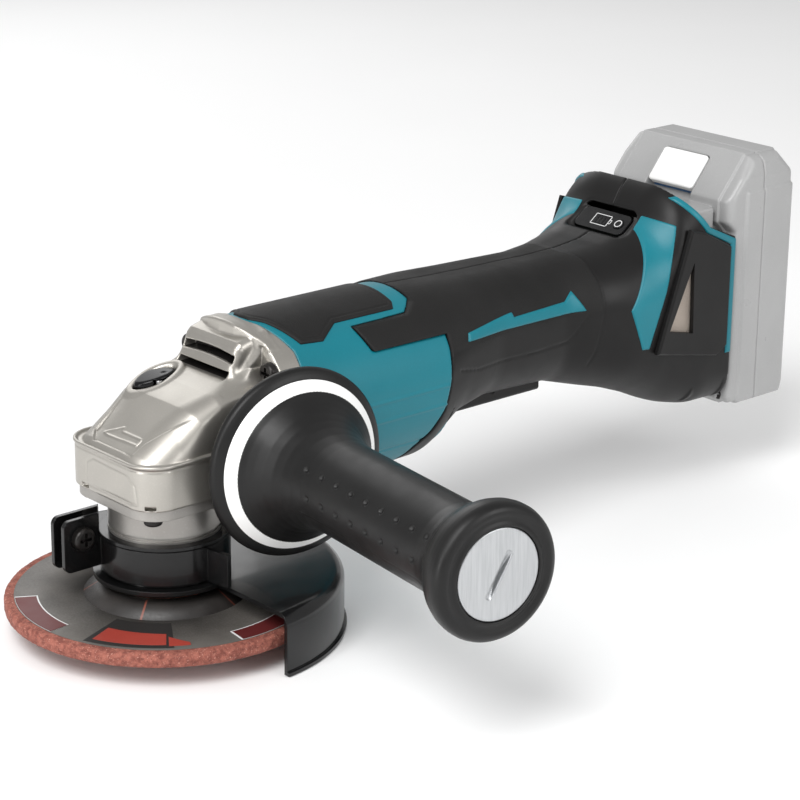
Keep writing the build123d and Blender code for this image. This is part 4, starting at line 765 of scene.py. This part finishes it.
def shell_skin(f):
    """The hollow body of both shells, with its seams."""
    x, y, z = f.x, f.y, f.z
    outside = body(f).astype(np.float32)
    outside = groove(outside, polyline(x, z, LOWER_SEAM), 0.7, 0.4)
    neck_line = np.abs(x - NECK_LINE_X + 0.02 * (z - 96) ** 2 / 4)
    outside = np.where(np.abs(x - NECK_LINE_X) < 6.0, groove(outside, neck_line, 0.7, 0.3), outside)
    outside = groove(outside, np.abs(y), 0.35, 0.45)
    return np.maximum(outside, -body(f, -SHELL_WALL))


def shell_rear(f, form):
    """Adds the floor under the battery rails and the rear frame round the battery's opening."""
    x, y, z = f.x, f.y, f.z
    floor = np.maximum(between(x, 259.0, 261.5), rounded_box(y, z - 76.0, 36.0, 44.0, 12.0))
    form = np.minimum(form, np.maximum(floor, -rounded_box(y, z - 61.0, 18.2, 15.2, 0.5)))
    back = np.maximum(between(x, 277.5, 280.0), rounded_box(y, z - 66.0, 37.5, 35.0, 12.0))
    back = np.maximum(back, -rounded_box(y, z - 90.0, 27.0, 51.0, 0.5))
    form = np.minimum(form, back)
    form = np.maximum(form, x - 280.0)
    return np.maximum(form, -np.maximum(polygon(x, z, MESH_WINDOW), 30.0 - np.abs(y)))


def cut_panel_seat(f, form):
    """Cuts the indicator panel's pocket and the shallow dish round it."""
    u = f.y
    v = 0.8 * (f.x - PANEL_AT[0]) + 0.6 * (f.z - PANEL_AT[2])
    w = -0.6 * (f.x - PANEL_AT[0]) + 0.8 * (f.z - PANEL_AT[2])
    pocket = rounded_box(u, v, 14.2, 5.7, 3.0)
    form = np.maximum(form, -np.maximum(pocket, between(w, -8.0, 8.0)))
    dish = rounded_box(u, v - 0.2, 16.4 - 0.12 * v, 7.9, 4.0)
    return smax(form, -np.maximum(dish, 0.15 - w), 1.6)


def handle_shells():
    """Both halves of the handle and battery housing, split at the middle."""
    f = Field((73.0, -39.5, 27.5), (281.0, 39.5, 134.0), COARSE * 1.15)
    x, y, z = f.x, f.y, f.z
    form = shell_skin(f)
    for sx, sz, half in HOUSING_SCREWS:
        off = np.hypot(x - sx, z - sz)
        form = np.minimum(form, np.maximum(off - 4.0, np.abs(y) - half))
    form = smax(form, -polygon(x, z, [(u + 0.15, v) for u, v in MOTOR_OUTLINE]), 0.6)
    form = np.maximum(form, -np.maximum(motor_radius(f) - 33.7, x - 120.5))
    form = np.maximum(form, -np.maximum(polygon(x, z, PADDLE_OPENING), np.abs(y) - 14.0))
    form = smax(form, -polygon(x, z, TOP_CUT), 0.6)
    form = cut_panel_seat(f, shell_rear(f, form))
    for sx, sz, half in HOUSING_SCREWS:
        off = np.hypot(x - sx, z - sz)
        form = np.maximum(form, -np.maximum(off - 1.5, np.abs(y) - half))
        form = np.maximum(form, -np.maximum(off - 3.2, half - 3.0 - y))
    for name, side in (("left", 1.0), ("right", -1.0)):
        points, quads = f.surface(np.maximum(form, -side * y))
        piece = add_piece("handle_shell_" + name, points, quads, "soft_grip", "tool_body", "black_plastic")
        # the soft textured part covers the top of the grip, and the rest is smooth
        piece.data.materials.append(MATS["black_plastic"])
        cx, _, cz = points[quads].mean(axis=1).T
        texture_end = np.interp(cz, (84.0, 90.0, 104.0, 110.0), (205.0, 207.0, 206.0, 200.0))
        smooth_part = (cz < 85.0) | (cx > texture_end)
        piece.data.polygons.foreach_set("material_index", smooth_part.astype(np.int32))
        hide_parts("handle_" + name)


# ---------------------------------------------------------------- coloured trim
ACCENT = [(127.4, 87.2), (198.0, 86.1), (192.4, 95.0), (187.6, 91.4), (157.1, 90.9), (156.4, 93.0),
          (128.4, 90.6)]
STRIPE = [(218.6, 83.4), (240.0, 118.4), (246.5, 115.5), (228.5, 65.0), (224.9, 65.2)]
REAR_EDGE = [(252.0, 126.5), (262.8, 113.1), (279.8, 105.4), (279.8, 54.0), (276.4, 54.0), (276.4, 103.4),
             (260.9, 110.8), (249.0, 125.8)]


TRIM_RISE, TRIM_SINK = 0.7, 1.4     # how far the trim stands out of the shells, and reaches in


def trim_piece(name, outlines, lo, hi, node_name):
    """A pair of thin coloured skins on the sides, cut to outlines in X and Z."""
    points, quads, start = [], [], 0
    for side in (-1, 1):
        low = (lo[0], min(side * lo[1], side * hi[1]), lo[2])
        high = (hi[0], max(side * lo[1], side * hi[1]), hi[2])
        f = Field(low, high, COARSE * 0.7)
        flat = polygon(f.x, f.z, outlines[0])
        for outline in outlines[1:]:
            flat = np.minimum(flat, polygon(f.x, f.z, outline))
        form = smax(body(f, TRIM_RISE), flat, 0.9)
        form = np.maximum(form, -body(f, -TRIM_SINK))
        side_points, side_quads = f.surface(form)
        points.append(side_points)
        quads.append(side_quads + start)
        start += len(side_points)
    plastic = "blue_green_plastic"
    piece = add_piece(name, np.vstack(points), np.vstack(quads), plastic, "tool_body", plastic)
    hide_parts(node_name)


# ---------------------------------------------------------------- battery
BATTERY_SIDE = [(281.0, 30.0), (284.0, 27.1), (317.0, 27.1), (320.4, 33.0), (320.4, 129.0), (311.0, 139.8),
                (292.0, 139.8), (276.1, 121.0), (276.1, 111.5), (281.0, 106.5)]
CASE_SPLIT_X = 299.0
CASE_HALF = 37.4
RAIL_HALF, NECK_HALF = 29.5, 26.4
RAIL_Z = (40.0, 118.0)
SCREW_SINK = 4.0
LATCH_AT = np.array([283.0, 0.0, 129.3])
LATCH_OUT = np.array([-19.0, 0.0, 16.0]) / 24.84
LATCH_UP = np.array([16.0, 0.0, 19.0]) / 24.84


def block(f, x_span, half, z_span):
    """Distance to a square-edged block, even about y = 0."""
    return np.maximum(np.maximum(between(f.x, *x_span), np.abs(f.y) - half), between(f.z, *z_span))


def sunk_screws_piece():
    """The case screws, with the upper ones deeper than the CAD's, so that the slope covers them."""
    screws = frame["nodes"]["battery_case_screws"].data
    points = np.array([tuple(v.co) for v in screws.vertices]) / MM
    points[points[:, 2] > 80.0, 0] += SCREW_SINK
    faces = [tuple(p.vertices) for p in screws.polygons]
    metal = "blackened_steel"
    piece = add_piece("battery_screws_sunk", points, faces, metal, "battery", metal, smooth=False)
    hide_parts("battery_case_screws")


def battery_pieces():
    """The case in two halves, with rails for the tool and a recess for the latch."""
    f = Field((263.0, -38.2, 26.0), (321.5, 38.2, 141.0), COARSE)
    x, y, z = f.x, f.y, f.z
    side_half = np.interp(z, (27.0, 130.0, 141.0), (CASE_HALF, CASE_HALF, 34.5))
    form = smax(polygon(x, z, BATTERY_SIDE), np.abs(y) - side_half, 4.0)
    form = smax(form, rounded_box(x - 298.3, y, 22.2, CASE_HALF, 6.0), 1.0)
    step = np.maximum(288.0 - x, z - 124.0)
    form = form + 0.9 * np.clip(step / 1.2 + 0.5, 0.0, 1.0) * (np.abs(y) > 30.0)
    form = groove(form, np.abs(x - CASE_SPLIT_X), 0.5, 0.4)
    rails = block(f, (264.0, 274.5), RAIL_HALF, RAIL_Z)
    neck = block(f, (272.0, 282.0), NECK_HALF, RAIL_Z)
    form = np.minimum(np.minimum(form, rails), neck)
    cell_space = block(f, (284.2, 319.2), 33.5, (36.0, 127.0))
    board_space = block(f, (270.3, 282.3), 25.0, (48.0, 110.0))
    form = np.maximum(np.maximum(form, -cell_space), -board_space)
    for side in (-12.0, 12.0):
        slit = np.maximum(between(x, 262.0, 270.5), np.abs(y - side) - 1.3)
        form = np.maximum(form, -np.maximum(slit, between(z, 36.0, 72.0)))
    w = (x - LATCH_AT[0]) * LATCH_OUT[0] + (z - LATCH_AT[2]) * LATCH_OUT[2]
    v = (x - LATCH_AT[0]) * LATCH_UP[0] + (z - LATCH_AT[2]) * LATCH_UP[2]
    recess = np.maximum(rounded_box(y, v + 2.25, 13.4, 11.1, 2.0), between(w, -6.0, 8.0))
    form = smax(form, -recess, 0.7)
    sunk_screws_piece()
    for name, cut in (("front", x - CASE_SPLIT_X), ("back", CASE_SPLIT_X - x)):
        points, quads = f.surface(np.maximum(form, cut))
        piece = add_piece("battery_shell_" + name, points, quads, "grey_plastic", "battery", "grey_plastic")
        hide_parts("battery_case_" + name)


# ---------------------------------------------------------------- grinding wheel
WHEEL_PROFILE = [(11.12, 3.62), (11.12, 9.55), (24.6, 9.55), (31.6, 4.95), (59.5, 4.95), (61.2, 4.85),
                 (62.05, 4.5), (62.4, 3.8), (62.45, 2.2), (62.4, 0.6), (62.1, -0.35), (61.3, -0.85),
                 (59.5, -1.0), (33.5, -1.0), (26.5, 3.62)]
LABEL_PROFILE = [(31.9, 5.0), (31.9, 5.12), (58.4, 5.12), (58.6, 5.0)]
HUB_PROFILE = [(21.5, 9.56), (21.5, 9.68), (24.7, 9.68), (31.9, 5.12), (31.9, 5.0), (24.6, 9.56)]
PRINT_Z = 5.2
OVERPRINT_Z = 5.25
PRINT_THICKNESS = 0.12
BAND_SPANS = ((149.0, 186.0), (262.0, 300.0))


def ring_patch(name, r0, r1, a0, a1, z, material, taper=0.0):
    """A thin printed patch between two radii and two angles, in degrees, on the wheel's face."""
    steps = max(4, int(abs(a1 - a0) / 1.5))
    points, faces = [], []
    for k in range(steps + 1):
        share = k / steps
        a = math.radians(a0 + (a1 - a0) * share)
        inner = r0 + taper * share
        for r in (inner, r1):
            points.append((r * math.cos(a), r * math.sin(a), z))
            points.append((r * math.cos(a), r * math.sin(a), z - PRINT_THICKNESS))
    for k in range(steps):
        p, q = 4 * k, 4 * (k + 1)
        faces += [(p, p + 2, q + 2, q), (p + 1, q + 1, q + 3, p + 3), (p, q, q + 1, p + 1),
                  (p + 2, p + 3, q + 3, q + 2)]
    faces += [(0, 1, 3, 2), (4 * steps, 4 * steps + 2, 4 * steps + 3, 4 * steps + 1)]
    add_piece(name, points, faces, material, "wheel", "abrasive", smooth=False)


def wheel_pieces():
    """The depressed-centre wheel with a chipped rim, its printed face, and plain coloured marks."""
    rng = np.random.default_rng(7)
    points, faces = lathe(WHEEL_PROFILE, 360)
    radius = np.hypot(points[:, 0], points[:, 1])
    rim = radius > 59.0
    chip = rng.uniform(-0.22, 0.05, rim.sum())
    points[rim, :2] *= (1.0 + chip / radius[rim])[:, None]
    points[rim, 2] += rng.uniform(-0.06, 0.06, rim.sum()) * (radius[rim] < 61.9)
    points[:, 2] = np.clip(points[:, 2], -1.0, 9.59)
    piece = add_piece("wheel_abrasive", points, faces, "abrasive", "wheel", "abrasive")
    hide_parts("grinding_wheel")
    add_piece("wheel_label", *lathe(LABEL_PROFILE, 240), "label", "wheel", "abrasive")
    add_piece("wheel_hub_label", *lathe(HUB_PROFILE, 240), "hub", "wheel", "abrasive")
    ring_patch("wheel_mark_chevron", 34.5, 57.2, 201.0, 236.5, PRINT_Z, "print_black")
    ring_patch("wheel_mark_red", 43.0, 54.5, 203.5, 233.5, OVERPRINT_Z, "print_red", 1.5)
    ring_patch("wheel_mark_corner", 47.0, 55.5, 234.5, 243.0, OVERPRINT_Z, "print_red", 6.0)
    for i, (start, end) in enumerate(BAND_SPANS):
        ring_patch(f"wheel_band_edge_{i}", 49.4, 58.3, start, end, PRINT_Z, "print_white")
        ring_patch(f"wheel_band_{i}", 50.0, 58.2, start + 0.8, end, OVERPRINT_Z, "print_dark_red")


# ---------------------------------------------------------------- side handle
# radius, and distance out along the handle's axis
GRIP_OUTLINE = [(35.5, 38.35), (36.4, 38.7), (37.0, 39.5), (37.2, 40.4), (37.1, 41.4), (36.5, 42.5),
                (35.0, 43.5), (33.2, 44.3), (32.2, 43.9), (28.9, 46.9), (29.6, 47.9), (27.6, 49.7),
                (25.4, 52.2), (23.4, 54.9), (21.4, 58.6), (19.9, 62.6), (18.7, 67.5), (18.0, 73.0),
                (17.75, 78.0), (17.7, 84.0), (17.7, 142.0), (17.8, 147.0), (18.4, 151.5), (19.4, 154.2),
                (20.8, 156.4), (22.5, 158.8), (24.0, 161.6), (25.0, 164.4), (25.3, 166.4), (25.3, 168.4),
                (24.9, 170.0), (24.2, 171.2), (23.0, 172.0), (21.6, 172.3), (20.6, 171.7), (19.2, 171.5),
                (18.0, 172.2), (17.3, 172.3), (17.1, 171.9), (17.1, 169.1)]
GRIP_R = 17.7
GRIP_BORE_R, GRIP_INNER, GRIP_OUTER = 4.0, 38.35, 169.1
DIMPLE_ROWS = ((57.0, 73.2), (89.0, 77.4), (-57.0, 73.2), (-89.0, 77.4))    # angle, first dimple
DIMPLES = 9
DIMPLE_GAP = 9.75
PART_LINE_ANGLE = math.radians(112.0)


def handle_frame():
    """Axes of the side handle: up, across and out."""
    up = np.array([0.0, 0.0, 1.0])
    return up, np.cross(HANDLE_DIR, up), HANDLE_DIR


def grip_profile(step):
    """The grip's outline, divided into short steps and closed at the bolt's bore."""
    profile = [(GRIP_BORE_R, GRIP_INNER)]
    for (r0, s0), (r1, s1) in zip(GRIP_OUTLINE[:-1], GRIP_OUTLINE[1:]):
        count = max(1, int(math.hypot(r1 - r0, s1 - s0) / step))
        profile += [(r0 + (r1 - r0) * k / count, s0 + (s1 - s0) * k / count) for k in range(count)]
    return np.array([*profile, GRIP_OUTLINE[-1], (GRIP_BORE_R, GRIP_OUTER)])


def grip_radius(r, s, phi):
    """Radius of the grip all round: dimples with raised rims, two part lines, and a ring near the end."""
    radius = r + 0 * phi
    barrel = (s > 70.0) & (s < 160.0) & (r > 15.0) & (r < 21.0)
    for angle, first in DIMPLE_ROWS:
        for k in range(DIMPLES):
            arc = (phi - math.radians(angle)) * GRIP_R
            off = np.hypot(arc / 1.25, (s - first - DIMPLE_GAP * k) / 1.35)
            bowl = 0.95 * np.clip(1.0 - off ** 2, 0.0, 1.0) - 0.12 * near(np.abs(off - 1.25), 0.35)
            radius = np.where(barrel, radius - bowl, radius)
    part_line = near(np.abs(np.abs(phi) - PART_LINE_ANGLE) * GRIP_R, 0.5)
    radius = np.where(barrel, radius - 0.18 * part_line, radius)
    return np.where((r < 20.0) & (r > 15.0), radius - 0.25 * near(np.abs(s - 153.4), 0.7), radius)


def grip_piece():
    """The moulded rubber grip, as rings of points out along the handle's axis."""
    up, across, out = handle_frame()
    step, turns = ((0.6, 300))
    r, s = np.hsplit(grip_profile(step), 2)
    phi = np.linspace(-math.pi, math.pi, turns, endpoint=False)[None, :]
    radius = grip_radius(r, s, phi)
    points = (HANDLE_ORIGIN + s[..., None] * out + (radius * np.cos(phi))[..., None] * up
              + (radius * np.sin(phi))[..., None] * across)
    rows, cols = radius.shape
    index = np.arange(rows * cols).reshape(rows, cols)
    following = np.roll(index, -1, axis=1)
    quads = np.stack([index[:-1], index[1:], following[1:], following[:-1]], axis=-1).reshape(-1, 4)
    faces = [tuple(q) for q in quads]
    faces += [tuple(index[0]), tuple(index[-1][::-1])]
    piece = add_piece("grip_rubber", points.reshape(-1, 3), faces, "grip_rubber", "side_handle", "soft_grip")
    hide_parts("side_handle_grip")


CAP_SLOT_TURN = math.radians(30.0)
CAP_SLOT_HALF = 9.0


def cap_piece():
    """The silver end cap: a low dome with a slot."""
    up, across, out = handle_frame()
    f = Field((-18.0, -18.0, 168.6), (18.0, 18.0, 173.2), 0.3)
    a, b, s = f.x, f.y, f.z
    r = np.hypot(a, b)
    dome = s - (172.45 - 0.0016 * r * r)
    shape = smax(smax(r - 16.9, dome, 0.7), 169.05 - s, 0.3)
    u = math.sin(CAP_SLOT_TURN) * a - math.cos(CAP_SLOT_TURN) * b
    v = math.cos(CAP_SLOT_TURN) * a + math.sin(CAP_SLOT_TURN) * b
    slot = rounded_box(u, v, CAP_SLOT_HALF, 1.15, 0.5)
    floor = 171.9 - 1.9 * np.clip(1.0 - (u / CAP_SLOT_HALF) ** 2, 0.0, 1.0)
    shape = smax(shape, -np.maximum(slot, floor - s), 0.5)
    points, quads = f.surface(shape)
    world = HANDLE_ORIGIN + points[:, :1] * across + points[:, 1:2] * up + points[:, 2:] * out
    # across, up and out are a left-handed set, so the faces are turned over
    quads = quads[:, ::-1]
    piece = add_piece("handle_end_cap", world, quads, "silver_plastic", "side_handle", "silver_plastic")
    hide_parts("side_handle_cap")


# ---------------------------------------------------------------- indicator marks
LINE_WIDTH = 0.35
GAUGE_BOTTOM, GAUGE_TOP = -3.0, 3.0
GAUGE_LEFT, GAUGE_RIGHT = -3.6, 5.8
TIP_LEFT, TIP_HALF = -4.8, 1.2
RING_CENTRE, RING_INNER, RING_OUTER = -9.2, 1.5, 1.9
RING_SEGMENTS = 24
BUTTON_LIFT = 0.42      # the button's face above the panel's
BAR_START, BAR_PITCH, BAR_WIDTH, BAR_HALF = -2.6, 1.95, 1.4, 2.2


def panel_point(u, v, w):
    """A point on the indicator panel: u across the tool, v up the panel, w above it."""
    return (PANEL_AT[0] + 0.8 * v - 0.6 * w, u, PANEL_AT[2] + 0.6 * v + 0.8 * w)


def flat_strip(name, loops, material, body_name):
    """Flat printed marks: each loop is a closed outline given on the panel."""
    points, faces = [], []
    for loop in loops:
        start, count = len(points), len(loop)
        points += [panel_point(u, v, 0.52) for u, v in loop]
        points += [panel_point(u, v, 0.35) for u, v in loop]
        faces.append(tuple(start + i for i in range(count)))
        faces.append(tuple(start + count + i for i in reversed(range(count))))
        for i in range(count):
            j = (i + 1) % count
            faces.append((start + i, start + count + i, start + count + j, start + j))
    piece = add_piece(name, points, faces, material, body_name, "black_plastic", smooth=False)
    bm = bmesh.new()
    bm.from_mesh(piece.data)
    bmesh.ops.recalc_face_normals(bm, faces=bm.faces)
    bm.to_mesh(piece.data)
    bm.free()
    return piece


def bar(u0, v0, u1, v1):
    """A rectangle's corners."""
    return [(u0, v0), (u1, v0), (u1, v1), (u0, v1)]


def indicator_marks():
    """A generic battery gauge: an outline with a tip, four bars, and a ring on the check button."""
    t = LINE_WIDTH
    outline = [bar(GAUGE_LEFT, GAUGE_BOTTOM, GAUGE_LEFT + t, GAUGE_TOP),
               bar(GAUGE_RIGHT - t, GAUGE_BOTTOM, GAUGE_RIGHT, GAUGE_TOP),
               bar(GAUGE_LEFT, GAUGE_TOP - t, GAUGE_RIGHT, GAUGE_TOP),
               bar(GAUGE_LEFT, GAUGE_BOTTOM, GAUGE_RIGHT, GAUGE_BOTTOM + t),
               bar(TIP_LEFT, -TIP_HALF, GAUGE_LEFT, -TIP_HALF + t),
               bar(TIP_LEFT, TIP_HALF - t, GAUGE_LEFT, TIP_HALF),
               bar(TIP_LEFT, -TIP_HALF, TIP_LEFT + t, TIP_HALF)]
    flat_strip("gauge_outline", outline, "print_white", "tool_body")
    ring = []
    for k in range(RING_SEGMENTS):
        a0, a1 = 2 * math.pi * k / RING_SEGMENTS, 2 * math.pi * (k + 1) / RING_SEGMENTS
        corners = ((RING_INNER, a0), (RING_OUTER, a0), (RING_OUTER, a1), (RING_INNER, a1))
        ring.append([(RING_CENTRE + r * math.cos(a), r * math.sin(a)) for r, a in corners])
    lifted = flat_strip("gauge_button_ring", ring, "print_white", "check_button")
    for vertex in lifted.data.vertices:
        vertex.co += Vector(np.array([-0.6, 0.0, 0.8]) * BUTTON_LIFT * MM)
    lefts = [BAR_START + BAR_PITCH * k for k in range(4)]
    bars = [bar(left, -BAR_HALF, left + BAR_WIDTH, BAR_HALF) for left in lefts]
    flat_strip("gauge_bars", bars, "black_gloss_plastic", "tool_body")


# ---------------------------------------------------------------- everything in place
gear_housing_piece()
shaft_lock_button_piece()
motor_housing_piece()
soft_patch_piece()
handle_shells()
trim_piece("side_accent_skins", [ACCENT], (127.0, 18.0, 84.0), (200.0, 40.0, 99.0), "side_accents")
trim_piece("rear_trim_skins", [STRIPE, REAR_EDGE], (217.0, 18.0, 52.0), (281.5, 40.5, 128.5), "rear_trim")
battery_pieces()
wheel_pieces()
grip_piece()
cap_piece()
indicator_marks()


# ---------------------------------------------------------------- stage, lights and camera
# metres and degrees from here on
FLOOR_HALF = 6.0
FLOOR_GAP = 0.0004
CAMERA_AT = Vector((-0.5421, -0.7454, 0.3924))
CAMERA_AZIMUTH, CAMERA_ELEVATION, CAMERA_ROLL = (math.radians(v) for v in (-41.57, 18.63, 0.6))
CAMERA_LENS = 115.3
CAMERA_SHIFT = (0.0024, -0.0008)
WORLD_STRENGTH = 0.5


def floor_piece():
    """A plain pale floor just under the wheel."""
    mesh = bpy.data.meshes.new("studio_floor")
    half, z = FLOOR_HALF, cad_lo.z - FLOOR_GAP
    corners = [(-half, -half, z), (half, -half, z), (half, half, z), (-half, half, z)]
    mesh.from_pydata(corners, [], [(0, 1, 2, 3)])
    floor = bpy.data.objects.new("studio_floor", mesh)
    bpy.context.scene.collection.objects.link(floor)
    mat, tree, shader = new_material("studio_paper")
    vector = object_coords(tree)
    color = mix(tree, noise(tree, vector, 3.0), (0.93, 0.93, 0.93), (0.96, 0.96, 0.96))
    gloss = ramp(tree, noise(tree, vector, 9.0), 0.3, 0.7, 0.75, 0.9)
    finish_material(tree, shader, color, gloss, None, 0, 0, 0)
    mesh.materials.append(mat)


def area_light(name, place, target, size, power, size_y=None):
    """A soft box light that faces a target."""
    data = bpy.data.lights.new(name, "AREA")
    data.shape = "RECTANGLE"
    data.size, data.size_y = size, size_y or size
    data.energy = power
    light = bpy.data.objects.new(name, data)
    bpy.context.scene.collection.objects.link(light)
    light.location = place
    light.rotation_euler = (Vector(target) - Vector(place)).to_track_quat("-Z", "Y").to_euler()


def camera():
    """A level camera, turned to its azimuth and elevation, then rolled."""
    place, roll = CAMERA_AT, CAMERA_ROLL
    level = math.cos(CAMERA_ELEVATION)
    forward = -Vector((math.sin(CAMERA_AZIMUTH) * level, -math.cos(CAMERA_AZIMUTH) * level,
                       math.sin(CAMERA_ELEVATION)))
    right = forward.cross(Vector((0, 0, 1))).normalized()
    up = right.cross(forward)
    right, up = right * math.cos(roll) + up * math.sin(roll), up * math.cos(roll) - right * math.sin(roll)
    data = bpy.data.cameras.new("photo_camera")
    data.sensor_width = 36.0
    data.lens = CAMERA_LENS
    data.shift_x, data.shift_y = CAMERA_SHIFT
    data.clip_start, data.clip_end = 0.05, 20.0
    cam = bpy.data.objects.new("photo_camera", data)
    bpy.context.scene.collection.objects.link(cam)
    cam.matrix_world = Matrix((
        (right.x, up.x, -forward.x, place.x), (right.y, up.y, -forward.y, place.y),
        (right.z, up.z, -forward.z, place.z), (0, 0, 0, 1)))
    bpy.context.scene.camera = cam


def world():
    """An even white surround."""
    made = bpy.data.worlds.new("studio")
    made.use_nodes = True
    background = made.node_tree.nodes["Background"]
    background.inputs["Color"].default_value = (1.0, 1.0, 1.0, 1.0)
    background.inputs["Strength"].default_value = WORLD_STRENGTH
    bpy.context.scene.world = made


bpy.context.scene.view_settings.view_transform = "Standard"
floor_piece()
world()
centre = ((cad_lo + cad_hi) / 2)[:]
area_light("key", (-0.9, -0.5, 1.3), centre, 0.9, 22.1)
area_light("fill", (0.5, -1.4, 0.7), centre, 0.8, 7.65)
area_light("rim", (0.5, 1.2, 0.8), centre, 0.9, 4.25)
area_light("strip", (-1.3, -0.1, 0.35), (0.0, 0.0, 0.06), 0.25, 5.1, 0.9)
camera()
